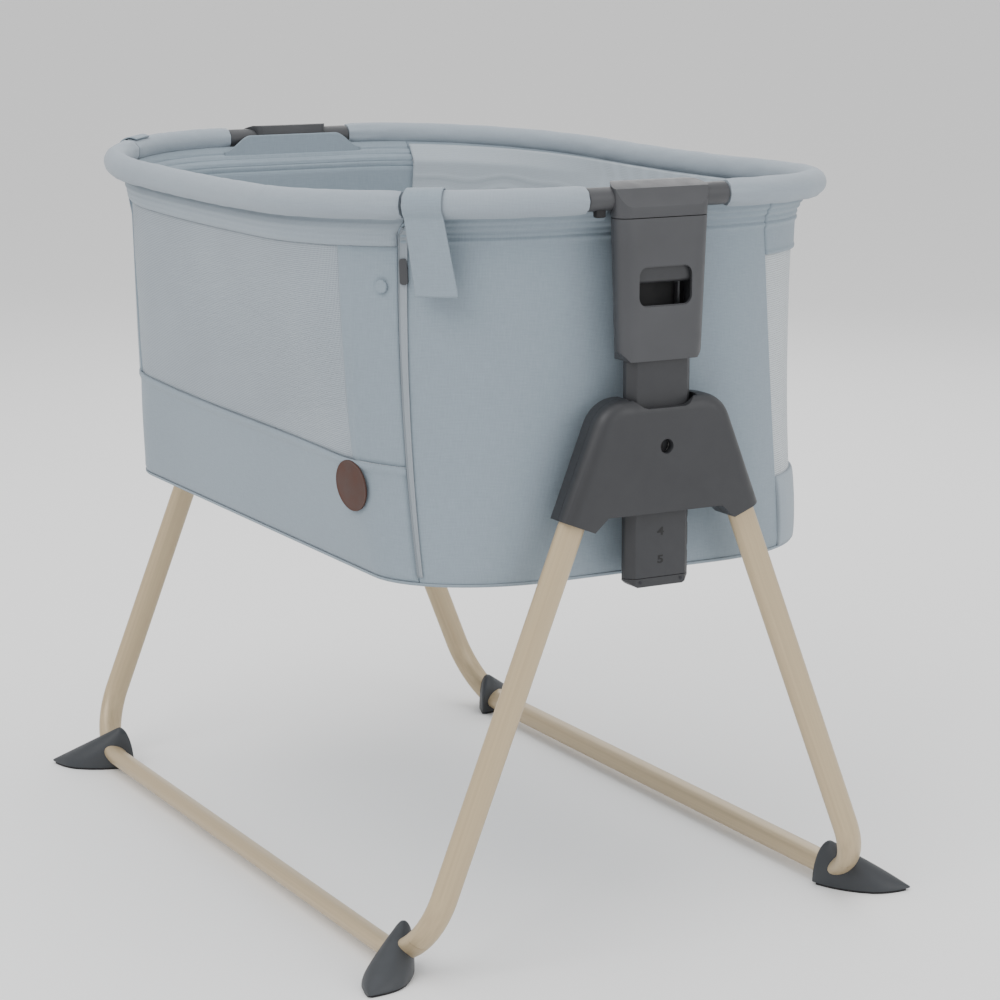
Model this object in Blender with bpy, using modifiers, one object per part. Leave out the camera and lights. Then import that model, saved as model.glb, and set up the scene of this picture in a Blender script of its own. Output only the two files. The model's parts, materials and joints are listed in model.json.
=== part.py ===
"""Bedside cot on a four-legged stand: a fabric tub that slides up and down between two A-shaped ends.

Metres, +Z up, origin on the floor under the middle of the tub. X runs along the cot, its near end at +X.
The drop side faces -Y and the mesh side +Y. Both ends are the same parts, turned half round about Z.
"""
import math

import bmesh
import bpy
from mathutils import Matrix, Vector

# Clearances
GAP = 0.0003                    # between faces that touch on the real object
RUNNING_GAP = 0.0006            # between faces that slide past each other

# Sizes that the rest follows
RIM_HALF_LENGTH = 0.405
RIM_HALF_WIDTH = 0.286
RIM_HEIGHT = 0.7145             # hoop's axis at the ends, in the lowest position
FLOOR_BAR_SPREAD = 0.500        # floor bar to floor bar, axis to axis
RAIL_WIDTH = 0.069
WAY_PAST = 3 * RIM_HEIGHT       # further than any side of the cot, for cutters

# Rim: a steel hoop in a padded sleeve, straight through the two barrels
BARREL_LENGTH = 0.150
RIM_CORNER_LENGTH = 0.248
RIM_CORNER_WIDTH = RIM_HALF_WIDTH - BARREL_LENGTH / 2     # the ends are straight along the barrels
RIM_DIP = 0.0105                # how far the long sides lie lower
HOOP_RADIUS = 0.0080
HOOP_WALL = 0.0012
HOOP_SIDES = 8
PADDING_RADIUS = 0.0125
PADDING_SIDES = 12
RIM_STEP = 9.0                  # degrees from point to point along the rim
BARREL_RADIUS = 0.0108
BARREL_CHAMFER = 0.0012
BARREL_PARTING = 0.0010         # between a barrel and the end wall behind it

# Rail: the post that slides in the housing
RAIL_X = RIM_HALF_LENGTH + 0.0055
RAIL_DEPTH = 0.0205
RAIL_CHAMFER = 0.0075
RAIL_WALL = 0.0026
RAIL_BOTTOM = RIM_HEIGHT - 0.3617
RAIL_TOP = RIM_HEIGHT - 0.1105
RAIL_CAP_HEIGHT = 0.0085
RAIL_CAP_CORNER = 0.0063        # height of the corners cut off the end cap
RAIL_CAP_CORNER_WIDTH = 0.0100
PLUG_HEIGHT = 0.0080            # of the end cap inside the rail
POSITION_PITCH = 0.0267         # one height step
POSITIONS = 5
LOCK_HOLE_RADIUS = 0.0048

# Pod: the head on top of the rail, which grips the barrel on the rim
POD_BOTTOM = RIM_HEIGHT - 0.1485
POD_TOP = RIM_HEIGHT + 0.0145
POD_FRONT_HALF_WIDTH = 0.0590   # at its top, where front and side would meet
POD_BACK_HALF_WIDTH = 0.0401
POD_TAPER = 0.0064              # narrower by this at its bottom, each side
POD_FRONT = 0.0146              # pod's face, out from the rail's middle
POD_BACK = 0.0200               # pod's back, in from the rail's middle
POD_SPLIT = 0.0005              # parting of its shells, out from the rail's middle
POD_FRONT_ROUND = 0.0236        # along front and side
POD_BACK_ROUND = 0.0040
POD_CORNER_Y = 0.0424           # where the cuts across its lower corners begin
POD_CORNER_WIDTH = 0.0064
POD_CORNER_HEIGHT = 0.0072
POD_WALL = 0.0035
POD_PARTING = 0.0010            # between the pod's back and the end wall
POD_ROOM = 0.0054               # beside the pod's back in the end wall
CAP_BOTTOM = RIM_HEIGHT - 0.0171
CAP_FACE_DROP = 0.0215          # upper edge of the pod's face, below its top
CAP_BROW_RUN = 0.0080           # edge between the cap's steep facet and its gentle slope
CAP_BROW_DROP = 0.0050
CAP_SLOPE_RUN = 0.0251          # where the slope ends, in from the pod's face
SLOT_WIDTH = 0.0567
SLOT_BOTTOM = RIM_HEIGHT - 0.0975
SLOT_TOP = RIM_HEIGHT - 0.0625
SLOT_RADIUS = 0.0080
CAVITY_HALF_WIDTH = 0.0350
CAVITY_TOP = RIM_HEIGHT - 0.0210
LEVER_BOTTOM = RIM_HEIGHT - 0.0775
LEVER_TOP = RIM_HEIGHT - 0.0505
LEVER_HALF_WIDTH = 0.0318
LEVER_DEPTH = 0.0118
LEVER_LIP = 0.0045
LEVER_SPRING_RADIUS = 0.0042
LEVER_SPRING_WIRE = 0.0006
LEVER_SPRING_TURNS = 6
STRIP_THICKNESS = 0.0020
STRIP_DEPTH = 0.0055
STRIP_MIDDLE = 0.0240           # from the rail's middle, towards the lock bolt
STRIP_TOP = LEVER_TOP - 0.0020
STRIP_BOTTOM = RAIL_BOTTOM + RAIL_CAP_HEIGHT + PLUG_HEIGHT + 0.0040

# Housing: the A-shaped end that joins two legs
END_X = RAIL_X + 0.0030         # plane of the legs and parting of the housing's shells
HOUSING_DEPTH = 0.0340
HOUSING_TOP = POD_BOTTOM - 0.0342
HOUSING_WEB_BOTTOM = HOUSING_TOP - 0.1073
HOUSING_SLEEVE_BOTTOM = HOUSING_TOP - 0.1138# on the leg's axis
SLEEVE_WALL = 0.0030
SLEEVE_STEP = 0.0139            # from the web's lower corner to the sleeve's
SHOULDER_RADIUS = 0.034
SHOULDER_STEPS = 5
NOTCH_DEPTH = 0.0093
NOTCH_HALF_WIDTH = 0.0225       # at its bottom
NOTCH_SPREAD = 0.0120           # wider by this at its mouth, each side
HOUSING_EDGE = 0.0120           # rounding towards the outside
HOUSING_BACK_EDGE = 0.0040
GUIDE_WALL = 0.0013
GUIDE_INSET = 0.0015            # guide's ends inside the housing's
WINDOW_RADIUS = 0.0068
WINDOW_HEIGHT = HOUSING_TOP - 0.0453
LOCK_HEIGHT = HOUSING_TOP - 0.0403# lock bolt's axis above the floor
BOLT_RADIUS = 0.0042
BOLT_LENGTH = 0.0150
BOLT_CHAMFER = 0.0012
BOLT_SPRING_ROOM = 0.0130
BOLT_SPRING_RADIUS = 0.0030
BOLT_SPRING_WIRE = 0.0005
BOLT_SPRING_TURNS = 5
COIL_STEPS = 8                  # points on a turn

# Stand: oval tubes, two floor bars joined to four legs inside the feet
BAR_Y = FLOOR_BAR_SPREAD / 2
BAR_AXIS_HEIGHT = 0.0165
TUBE_WIDE = 0.027               # across the plane of a leg and its floor bar
TUBE_THIN = 0.019               # in that plane
TUBE_WALL = 0.0015
TUBE_SIDES = 16
BEND_RADIUS = 0.070
LEG_TOP = HOUSING_TOP - 0.0651
LEG_TOP_Y = RAIL_WIDTH / 2 + 0.0377
LEAN = math.atan2(BAR_Y - LEG_TOP_Y, LEG_TOP - BAR_AXIS_HEIGHT)     # from the vertical
LEG_LENGTH = (LEG_TOP - BAR_AXIS_HEIGHT) / math.cos(LEAN)
JOINT_TURN = 42.0               # degrees of the bend that belong to the leg, the rest is the floor bar's
JOINT_PARTING = 2.4             # degrees between the leg's end and the floor bar's, inside the foot

# Feet: boots over the bends, their toes pointing out at the corners
FOOT_HEEL_X = END_X - 0.0605
FOOT_HEEL_Y = BAR_Y - 0.0210
FOOT_LENGTH = 0.0990
FOOT_TURN = 40.0                # degrees from the Y axis towards the cot's end
FOOT_RIDGE = 0.0180             # ridge's peak, from the heel
FOOT_HEIGHT = 0.0475
FOOT_TOE_HEIGHT = 0.0050
FOOT_WIDEST = 0.0600            # widest place, from the heel
FOOT_HALF_WIDTH = 0.0210
PAD_THICKNESS = 0.0022
PAD_INSET = 0.0016
FOOT_STATIONS = 11
FOOT_ARCH = 10

# Tub
TUB_BOTTOM = RIM_HEIGHT - 0.3575
TUB_BOTTOM_HALF_LENGTH = RIM_HALF_LENGTH - 0.025
TUB_BOTTOM_HALF_WIDTH = RIM_HALF_WIDTH - 0.057
TUB_BOTTOM_CORNER_LENGTH = 0.100
TUB_BOTTOM_CORNER_WIDTH = 0.140
TUB_END_TOP_INSET = 0.0225      # end walls hang this far inside the hoop's axis
TUB_SIDE_TOP_INSET = 0.0095
HEM_INSET = 0.0080              # where the walls meet the padded rim
HEM_HEIGHT = 0.018
WALL_THICKNESS = 0.0045
BAND_TOP = TUB_BOTTOM + 0.045   # top of the stiff lower band
MESH_WAIST = 0.0040             # how far the mesh side is drawn in at mid height
BOTTOM_COVER_THICKNESS = 0.0032
BOTTOM_COVER_EDGE = 0.0022
BOARD_THICKNESS = 0.0060
BOARD_PARTING = 0.0014          # between the board's edge and the walls
MATTRESS_THICKNESS = 0.044
MATTRESS_INSET = 0.012
MATTRESS_CROWN = 0.007
ZIP_ANGLE_TOP = 44.0            # where the zips lie round the corner, 0 at the end, 90 at the side
ZIP_ANGLE_BOTTOM = 58.0
MESH_ANGLE_TOP = 19.5           # where the mesh begins round the corner
MESH_ANGLE_BOTTOM = 37.0
SEAM_ANGLE = 0.20               # half the parting between two walls, in degrees
DROP_LIMIT_PARTING = 0.0012     # between the drop side's bar and the fixed hoop
PLAN_STEP = 9.0                 # degrees from point to point round the tub

# Trim
FLAP_ANGLE_FIRST = 34.5
FLAP_ANGLE_LAST = ZIP_ANGLE_TOP - 0.6
FLAP_THICKNESS = 0.0018
FLAP_DROP = 0.082
FLAP_BEND = 0.040               # below the rim, where the flap turns straight down
FLAP_BEND_OUT = 0.0065
FLAP_TIP_OUT = 0.0030
BADGE_RADIUS = 0.0248
BADGE_THICKNESS = 0.0022
BADGE_X = RIM_HALF_LENGTH - 0.143
BADGE_Z = TUB_BOTTOM + 0.088
PULL_WIDTH = 0.0075
PULL_HEIGHT = 0.024
PULL_THICKNESS = 0.0028
PULL_ROUND = 0.0025
PULL_TOP = RIM_HEIGHT - 0.0505
PULL_TRAVEL = 0.255
PULL_STANDOFF = 0.0006          # running gap over the wall, which falls away below the start
PULL_OFFSET_ANGLE = 1.6         # degrees from the zip towards the cot's end

# Worked out from the sizes above
CHANNEL_WIDTH = RAIL_WIDTH + 2 * (RUNNING_GAP + GUIDE_WALL + GAP)
CHANNEL_DEPTH = RAIL_DEPTH + 2 * (RUNNING_GAP + GUIDE_WALL + GAP)
BOLT_ROOM_END = RAIL_WIDTH / 2 + RUNNING_GAP + GUIDE_WALL + BOLT_LENGTH + BOLT_SPRING_ROOM
FLOOR_TOP = TUB_BOTTOM + BOTTOM_COVER_THICKNESS
WALL_BOTTOM = FLOOR_TOP + GAP
BOARD_TOP = WALL_BOTTOM + BOARD_THICKNESS
HEM_TOP = RIM_HEIGHT - math.sqrt(PADDING_RADIUS ** 2 - HEM_INSET ** 2) - 2 * GAP
NECK = HEM_TOP - HEM_HEIGHT     # where the walls turn out to the rim


def clear_scene():
    for old in list(bpy.data.objects):
        bpy.data.objects.remove(old, do_unlink=True)


def new_collection(name):
    collection = bpy.data.collections.new(name)
    bpy.context.scene.collection.children.link(collection)
    return collection


clear_scene()
PARTS = new_collection("bedside_cot")
CUTTERS = new_collection("cutters")
MATERIALS = {}


def finish(name, colour, roughness, metallic=0.0):
    """Return the Principled material of that name, made at its first use."""
    if name not in MATERIALS:
        material = bpy.data.materials.new(name)
        material.use_nodes = True
        shader = material.node_tree.nodes["Principled BSDF"]
        shader.inputs["Base Color"].default_value = (*colour, 1.0)
        shader.inputs["Roughness"].default_value = roughness
        shader.inputs["Metallic"].default_value = metallic
        MATERIALS[name] = material
    return MATERIALS[name]


TUBE_FINISH = finish("beige_tube", (0.52, 0.42, 0.28), 0.42, 0.1)
PLASTIC = finish("grey_plastic", (0.075, 0.08, 0.085), 0.45)
POD_PLASTIC = finish("pod_plastic", (0.115, 0.12, 0.125), 0.45)
RUBBER = finish("sole_rubber", (0.02, 0.02, 0.022), 0.8)
GUIDE_FINISH = finish("guide_plastic", (0.6, 0.6, 0.58), 0.35)
STEEL = finish("steel", (0.55, 0.56, 0.58), 0.3, 1.0)
FABRIC = finish("blue_grey_fabric", (0.36, 0.40, 0.43), 0.9)
MESH_FABRIC = finish("mesh_fabric", (0.52, 0.56, 0.58), 0.95)
BOARD = finish("base_board", (0.30, 0.31, 0.32), 0.8)
TICKING = finish("mattress_cover", (0.62, 0.65, 0.67), 0.95)
LEATHER = finish("badge_leather", (0.16, 0.085, 0.055), 0.6)


def pivot(item, point):
    """Put an object's origin at a point, its mesh staying where it is."""
    item.data.transform(Matrix.Translation(-Vector(point)))
    item.location = point


def place(name, mesh, material, parent=None):
    """Wrap a mesh in an object of the part's collection."""
    item = bpy.data.objects.new(name, mesh)
    PARTS.objects.link(item)
    mesh.materials.clear()
    mesh.materials.append(material)
    item.parent = parent
    mesh.shade_smooth()
    mesh.set_sharp_from_angle(angle=math.radians(32))
    return item


def to_mesh(name, bm, outward=True):
    """Write a bmesh to a mesh, its faces pointing out."""
    if outward:
        bmesh.ops.recalc_face_normals(bm, faces=bm.faces)
    mesh = bpy.data.meshes.new(name)
    bm.to_mesh(mesh)
    bm.free()
    return mesh


def block(low, high):
    """A box as a bmesh, between two corners."""
    bm = bmesh.new()
    bmesh.ops.create_cube(bm, size=1.0)
    size = [h - l for l, h in zip(low, high)]
    middle = [(l + h) / 2 for l, h in zip(low, high)]
    bmesh.ops.scale(bm, vec=size, verts=bm.verts)
    bmesh.ops.translate(bm, vec=middle, verts=bm.verts)
    return bm


def rod(radius, first, last, sides=20):
    """A cylinder as a bmesh, between two points."""
    first, last = Vector(first), Vector(last)
    along = last - first
    bm = bmesh.new()
    bmesh.ops.create_cone(bm, cap_ends=True, segments=sides, radius1=radius, radius2=radius,
                          depth=along.length)
    turn = along.to_track_quat("Z", "Y").to_matrix().to_4x4()
    bmesh.ops.transform(bm, matrix=Matrix.Translation((first + last) / 2) @ turn, verts=bm.verts)
    return bm


def round_edges(bm, edges, width, steps):
    bmesh.ops.bevel(bm, geom=edges, offset=width, offset_type="OFFSET", segments=steps, profile=0.5,
                    affect="EDGES", clamp_overlap=True, material=-1)


def upright(edge):
    """Whether an edge runs along Z."""
    run = edge.verts[1].co - edge.verts[0].co
    return abs(run.z) > 0.8 * run.length


def slice_off(bm, point, normal):
    """Cut away what lies beyond a plane, and close the form there."""
    everything = bm.verts[:] + bm.edges[:] + bm.faces[:]
    result = bmesh.ops.bisect_plane(bm, geom=everything, plane_co=point, plane_no=normal, clear_outer=True)
    rim = [item for item in result["geom_cut"] if isinstance(item, bmesh.types.BMEdge)]
    bmesh.ops.edgeloop_fill(bm, edges=rim)


def cut_corners(bm, half, bottom, width, height):
    """Cut both lower corners off a form, as seen along X."""
    for side in (1, -1):
        slice_off(bm, (0, side * half, bottom + height), (0, side * height, -width))


def shrunk(ring, distance):
    """A convex ring of plan points, given anticlockwise, with every side moved in."""
    sides = []
    for first, second in zip(ring, ring[1:] + ring[:1]):
        run = (second - first).normalized()
        inward = Vector((-run.y, run.x))
        sides.append((first + inward * distance, run))
    points = []
    for (here, run), (there, other) in zip([sides[-1]] + sides[:-1], sides):
        across = run.x * other.y - run.y * other.x
        gap = there - here
        points.append(here + run * ((gap.x * other.y - gap.y * other.x) / across))
    return points


def cutter(name, bm, parent=None):
    item = bpy.data.objects.new(name, to_mesh(name, bm))
    CUTTERS.objects.link(item)
    item.parent = parent
    item.display_type = "WIRE"
    item.hide_render = True
    return item


def cut(item, tool, operation="DIFFERENCE"):
    step = item.modifiers.new(operation.lower() + "_" + tool.name, "BOOLEAN")
    step.object = tool
    step.operation = operation
    step.solver = "EXACT"


def weld(item):
    """Merge the very short edges that a cut leaves."""
    step = item.modifiers.new("weld", "WELD")
    step.merge_threshold = 0.00006


def thicken(item, thickness):
    """Give an open surface a wall on its inner side."""
    wall = item.modifiers.new("wall", "SOLIDIFY")
    wall.thickness = thickness
    wall.offset = -1.0
    wall.use_even_offset = True


def loft(rows, closed=False, capped=False):
    """Skin rows of points into a surface. A closed row is a ring, and caps close the first and last."""
    bm = bmesh.new()
    rings = [[bm.verts.new(point) for point in row] for row in rows]
    count = len(rows[0])
    spans = count if closed else count - 1
    for lower, upper in zip(rings, rings[1:]):
        for i in range(spans):
            j = (i + 1) % count
            bm.faces.new((lower[i], lower[j], upper[j], upper[i]))
    if capped:
        bm.faces.new(rings[0])
        bm.faces.new(rings[-1])
    return bm


def tube(name, points, section, sides, material, wall, frame=None):
    """Sweep an oval section along points and give it a wall, or cap its ends where it has none."""
    curve = bpy.data.curves.new(name + "_path", "CURVE")
    curve.dimensions = "3D"
    curve.twist_mode = "Z_UP"
    curve.use_fill_caps = not wall
    spline = curve.splines.new("POLY")
    spline.points.add(len(points) - 1)
    for slot, point in zip(spline.points, points):
        slot.co = (*point, 1.0)
    profile = oval(name + "_section", *section, sides)
    curve.bevel_mode = "OBJECT"
    curve.bevel_object = profile
    path = bpy.data.objects.new(name + "_path", curve)
    CUTTERS.objects.link(path)
    if frame:
        path.matrix_world = frame
    bpy.context.view_layer.update()
    swept = path.evaluated_get(bpy.context.evaluated_depsgraph_get())
    mesh = bpy.data.meshes.new_from_object(swept)
    bm = bmesh.new()
    bm.from_mesh(mesh)
    bmesh.ops.remove_doubles(bm, verts=bm.verts, dist=0.00005)
    bmesh.ops.recalc_face_normals(bm, faces=bm.faces)
    mesh = to_mesh(name, bm, outward=False)
    place_at = path.matrix_world.copy()
    bpy.data.objects.remove(path, do_unlink=True)
    bpy.data.objects.remove(profile, do_unlink=True)
    item = place(name, mesh, material)
    item.matrix_world = place_at
    if wall:
        thicken(item, wall)
    return item


def oval(name, half_in_plane, half_across, sides):
    """A closed ellipse for a tube's section: X in the path's plane, Y across it."""
    curve = bpy.data.curves.new(name, "CURVE")
    curve.dimensions = "2D"
    spline = curve.splines.new("POLY")
    spline.points.add(sides - 1)
    spline.use_cyclic_u = True
    for i, slot in enumerate(spline.points):
        turn = 2 * math.pi * i / sides
        slot.co = (half_in_plane * math.cos(turn), half_across * math.sin(turn), 0.0, 1.0)
    item = bpy.data.objects.new(name, curve)
    CUTTERS.objects.link(item)
    return item


class Outline:
    """A plan shape with straight ends and sides and elliptical corners."""

    def __init__(self, half_length, half_width, corner_length, corner_width):
        self.half_length = half_length
        self.half_width = half_width
        self.corner_length = corner_length
        self.corner_width = corner_width

    def at(self, angle, quarter=None):
        """Point at an angle: 0 near end, 90 mesh side, 180 far end, 270 drop side."""
        quarter = math.floor(angle / 90) % 4 if quarter is None else quarter
        sign_x = 1 if quarter in (0, 3) else -1
        sign_y = 1 if quarter in (0, 1) else -1
        turn = math.radians(angle)
        x = sign_x * (self.half_length - self.corner_length) + self.corner_length * math.cos(turn)
        y = sign_y * (self.half_width - self.corner_width) + self.corner_width * math.sin(turn)
        return Vector((x, y))

    def run(self, first, last, step):
        """Points from one angle to another, with both ends of each straight stretch."""
        points = []
        start = first
        while start < last - 1e-6:
            stop = min(last, 90.0 * (math.floor(start / 90 + 1e-9) + 1))
            quarter = math.floor(start / 90 + 1e-9) % 4
            count = max(1, round((stop - start) / step))
            points += [self.at(start + (stop - start) * i / count, quarter) for i in range(count + 1)]
            start = stop
        return points

    def ring(self, step):
        points = self.run(0.0, 360.0, step)
        return points if (points[0] - points[-1]).length > 1e-5 else points[:-1]

    def inset(self, distance):
        """The same shape, smaller all round."""
        return Outline(self.half_length - distance, self.half_width - distance,
                       max(self.corner_length - distance, 0.001), max(self.corner_width - distance, 0.001))

    def blend(self, other, share):
        mix = lambda a, b: a + (b - a) * share
        return Outline(mix(self.half_length, other.half_length), mix(self.half_width, other.half_width),
                       mix(self.corner_length, other.corner_length),
                       mix(self.corner_width, other.corner_width))


RIM = Outline(RIM_HALF_LENGTH, RIM_HALF_WIDTH, RIM_CORNER_LENGTH, RIM_CORNER_WIDTH)
TUB_BASE = Outline(TUB_BOTTOM_HALF_LENGTH, TUB_BOTTOM_HALF_WIDTH, TUB_BOTTOM_CORNER_LENGTH,
                   TUB_BOTTOM_CORNER_WIDTH)
TUB_NECK = Outline(RIM_HALF_LENGTH - TUB_END_TOP_INSET, RIM_HALF_WIDTH - TUB_SIDE_TOP_INSET,
                   RIM_CORNER_LENGTH - HEM_INSET, RIM_CORNER_WIDTH - HEM_INSET)
TUB_HEM = RIM.inset(HEM_INSET)


def dip(x):
    """How far the rim lies below its ends, at a place along the cot."""
    return RIM_DIP * (1 - min(1.0, abs(x) / RIM_HALF_LENGTH) ** 2)


def wall_outline(z):
    """The tub's outer plan shape at a height."""
    if z <= NECK:
        return TUB_BASE.blend(TUB_NECK, (z - WALL_BOTTOM) / (NECK - WALL_BOTTOM))
    return TUB_NECK.blend(TUB_HEM, (z - NECK) / HEM_HEIGHT)


def settle(point, z):
    """Draw a point of the tub in at the mesh side's waist, and lower it with the rim's dip."""
    share = (z - WALL_BOTTOM) / (HEM_TOP - WALL_BOTTOM)
    rise = min(1.0, max(0.0, (z - BAND_TOP) / (NECK - BAND_TOP)))
    side = max(0.0, point.y / RIM_HALF_WIDTH)
    waist = MESH_WAIST * math.sin(math.pi * rise) * side
    return Vector((point.x, point.y - waist, z - dip(point.x) * share))


def edge_angle(top, bottom, z):
    """Where a seam lies round the corner at a height."""
    return bottom + (top - bottom) * (z - WALL_BOTTOM) / (HEM_TOP - WALL_BOTTOM)


def rim_path(first, last, step):
    return [Vector((p.x, p.y, RIM_HEIGHT - dip(p.x))) for p in RIM.run(first, last, step)]


# Stand

def leg_frame(side_y):
    """Axes of a leg's plane: X along the cot, Y up the leg, Z across, from the floor bar's middle."""
    up = Vector((0.0, -side_y * math.sin(LEAN), math.cos(LEAN)))
    along = Vector((1.0, 0.0, 0.0))
    across = along.cross(up)
    frame = Matrix((along, up, across)).transposed().to_4x4()
    frame.translation = Vector((0.0, side_y * BAR_Y, BAR_AXIS_HEIGHT))
    return frame


def bend_points(first, last, count, side_x):
    """Points on the bend, 0 degrees at the leg and 90 at the floor bar, in the leg's plane."""
    centre_x = END_X - BEND_RADIUS
    points = []
    for i in range(count + 1):
        turn = math.radians(first + (last - first) * i / count)
        points.append((side_x * (centre_x + BEND_RADIUS * math.cos(turn)),
                       BEND_RADIUS * (1 - math.sin(turn)), 0.0))
    return points


def build_leg(name, side_x, side_y):
    top = [(side_x * END_X, LEG_LENGTH, 0.0)]
    points = top + bend_points(0.0, JOINT_TURN, 4, side_x)
    tube(name, points, (TUBE_THIN / 2, TUBE_WIDE / 2), TUBE_SIDES, TUBE_FINISH, TUBE_WALL, leg_frame(side_y))


def build_floor_bar(name, side_y):
    near = bend_points(JOINT_TURN + JOINT_PARTING, 90.0, 4, 1)
    far = bend_points(90.0, JOINT_TURN + JOINT_PARTING, 4, -1)
    tube(name, near + far, (TUBE_THIN / 2, TUBE_WIDE / 2), TUBE_SIDES, TUBE_FINISH, TUBE_WALL, leg_frame(side_y))


def tube_cutter(name, side_x, side_y):
    """The tube's whole route through a foot, with clearance."""
    past = BEND_RADIUS + FOOT_HEIGHT
    points = [(side_x * END_X, past, 0.0)] + bend_points(0.0, 90.0, 8, side_x)
    points += [(side_x * (END_X - past), 0.0, 0.0)]
    section = (TUBE_THIN / 2 + GAP, TUBE_WIDE / 2 + GAP)
    item = tube(name, points, section, TUBE_SIDES, TUBE_FINISH, 0.0, leg_frame(side_y))
    PARTS.objects.unlink(item)
    CUTTERS.objects.link(item)
    item.display_type = "WIRE"
    item.hide_render = True
    return item


def foot_profile(along):
    """Half width, height and roundness of the foot, at a distance from its heel."""
    if along < FOOT_WIDEST:
        share = 1 - along / FOOT_WIDEST
        width = FOOT_HALF_WIDTH * (1 - share ** 2) ** 0.9
    else:
        share = (along - FOOT_WIDEST) / (FOOT_LENGTH - FOOT_WIDEST)
        width = FOOT_HALF_WIDTH * math.cos(math.pi / 2 * min(share, 0.96)) ** 0.9
    if along < FOOT_RIDGE:
        height = FOOT_HEIGHT * math.sqrt(1 - (1 - along / FOOT_RIDGE) ** 2)
    else:
        share = (along - FOOT_RIDGE) / (FOOT_LENGTH - FOOT_RIDGE)
        height = FOOT_HEIGHT + (FOOT_TOE_HEIGHT - FOOT_HEIGHT) * share
    return width, height, 0.5 + 0.8 * along / FOOT_LENGTH


def foot_forms():
    """A boot over the near right bend, a ridge that falls from a rounded heel to a pointed toe, and its pad."""
    sole = PAD_THICKNESS + GAP
    stations = [FOOT_LENGTH * (1 - math.cos(math.pi * (i + 0.9) / (FOOT_STATIONS + 0.8))) / 2
                for i in range(FOOT_STATIONS)]
    rows = []
    for along in stations:
        width, height, power = foot_profile(along)
        ring = []
        for k in range(FOOT_ARCH + 1):
            turn = math.pi * k / FOOT_ARCH
            rise = (height - sole) * math.sin(turn) ** power if 0 < k < FOOT_ARCH else 0.0
            ring.append(Vector((width * math.cos(turn), along, sole + rise)))
        rows.append(ring)
    boot = loft(rows, closed=True, capped=True)
    edge = [Vector((foot_profile(along)[0] - PAD_INSET, along, 0.0)) for along in stations[1:]]
    edge += [Vector((-point.x, point.y, 0.0)) for point in reversed(edge)]
    pad = loft([edge, [point + Vector((0, 0, PAD_THICKNESS)) for point in edge]], closed=True, capped=True)
    turn = Matrix.Rotation(-math.radians(FOOT_TURN), 3, "Z")
    for shape in (boot, pad):
        bmesh.ops.rotate(shape, cent=(0, 0, 0), matrix=turn, verts=shape.verts)
        bmesh.ops.translate(shape, vec=(FOOT_HEEL_X, FOOT_HEEL_Y, 0.0), verts=shape.verts)
    master = place("foot_master", to_mesh("foot_master", boot), PLASTIC)
    cut(master, tube_cutter("foot_tube", 1, 1))
    weld(master)
    bpy.context.view_layer.update()
    cored = bpy.data.meshes.new_from_object(master.evaluated_get(bpy.context.evaluated_depsgraph_get()))
    bpy.data.objects.remove(master, do_unlink=True)
    return cored, to_mesh("foot_pad", pad)


def build_feet():
    """Four boots and pads, mirrored from one corner to the others."""
    boot, pad = foot_forms()
    for side_x, end in ((1, "near"), (-1, "far")):
        for side_y, side in ((-1, "left"), (1, "right")):
            for kind, form, material in (("foot", boot, PLASTIC), ("foot_pad", pad, RUBBER)):
                bm = bmesh.new()
                bm.from_mesh(form)
                bmesh.ops.scale(bm, vec=(side_x, side_y, 1.0), verts=bm.verts)
                name = f"{end}_{side}_{kind}"
                place(name, to_mesh(name, bm), material)


# One end, modelled at +X and turned half round for the far end

def housing_outline():
    """Half of the A-shaped end in Y and Z, from the web's middle round to the top's middle."""
    foot = Vector((BAR_Y - math.tan(LEAN) * (HOUSING_SLEEVE_BOTTOM - BAR_AXIS_HEIGHT), HOUSING_SLEEVE_BOTTOM))
    across = Vector((math.cos(LEAN), math.sin(LEAN)))
    up = Vector((-math.sin(LEAN), math.cos(LEAN)))
    half = TUBE_WIDE / 2 + SLEEVE_WALL
    inner, outer = foot - across * half, foot + across * half
    points = [Vector((0.0, HOUSING_WEB_BOTTOM)), Vector((inner.x - SLEEVE_STEP, HOUSING_WEB_BOTTOM)), inner, outer]
    side_top = outer + up * ((HOUSING_TOP - outer.y) / up.y)
    reach = SHOULDER_RADIUS * math.tan((math.pi / 2 - LEAN) / 2)
    centre = side_top + Vector((-reach, -SHOULDER_RADIUS))
    for i in range(SHOULDER_STEPS + 1):
        turn = LEAN + (math.pi / 2 - LEAN) * i / SHOULDER_STEPS
        points.append(centre + SHOULDER_RADIUS * Vector((math.cos(turn), math.sin(turn))))
    return points + [Vector((0.0, HOUSING_TOP))]


def housing_body():
    """The whole housing as one bmesh, its long edges rounded but not those of its underside."""
    half = housing_outline()
    ring = half + [Vector((-p.x, p.y)) for p in reversed(half[1:-1])]
    ends = (END_X - HOUSING_DEPTH / 2, END_X + HOUSING_DEPTH / 2)
    bm = loft([[Vector((x, p.x, p.y)) for p in ring] for x in ends], closed=True, capped=True)
    bmesh.ops.recalc_face_normals(bm, faces=bm.faces)
    underside = HOUSING_WEB_BOTTOM + SLEEVE_WALL
    for x, width in zip(ends, (HOUSING_BACK_EDGE, HOUSING_EDGE)):
        edges = [e for e in bm.edges if all(abs(v.co.x - x) < 1e-6 for v in e.verts)
                 and max(v.co.z for v in e.verts) > underside]
        round_edges(bm, edges, width, 3)
    return bm


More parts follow.
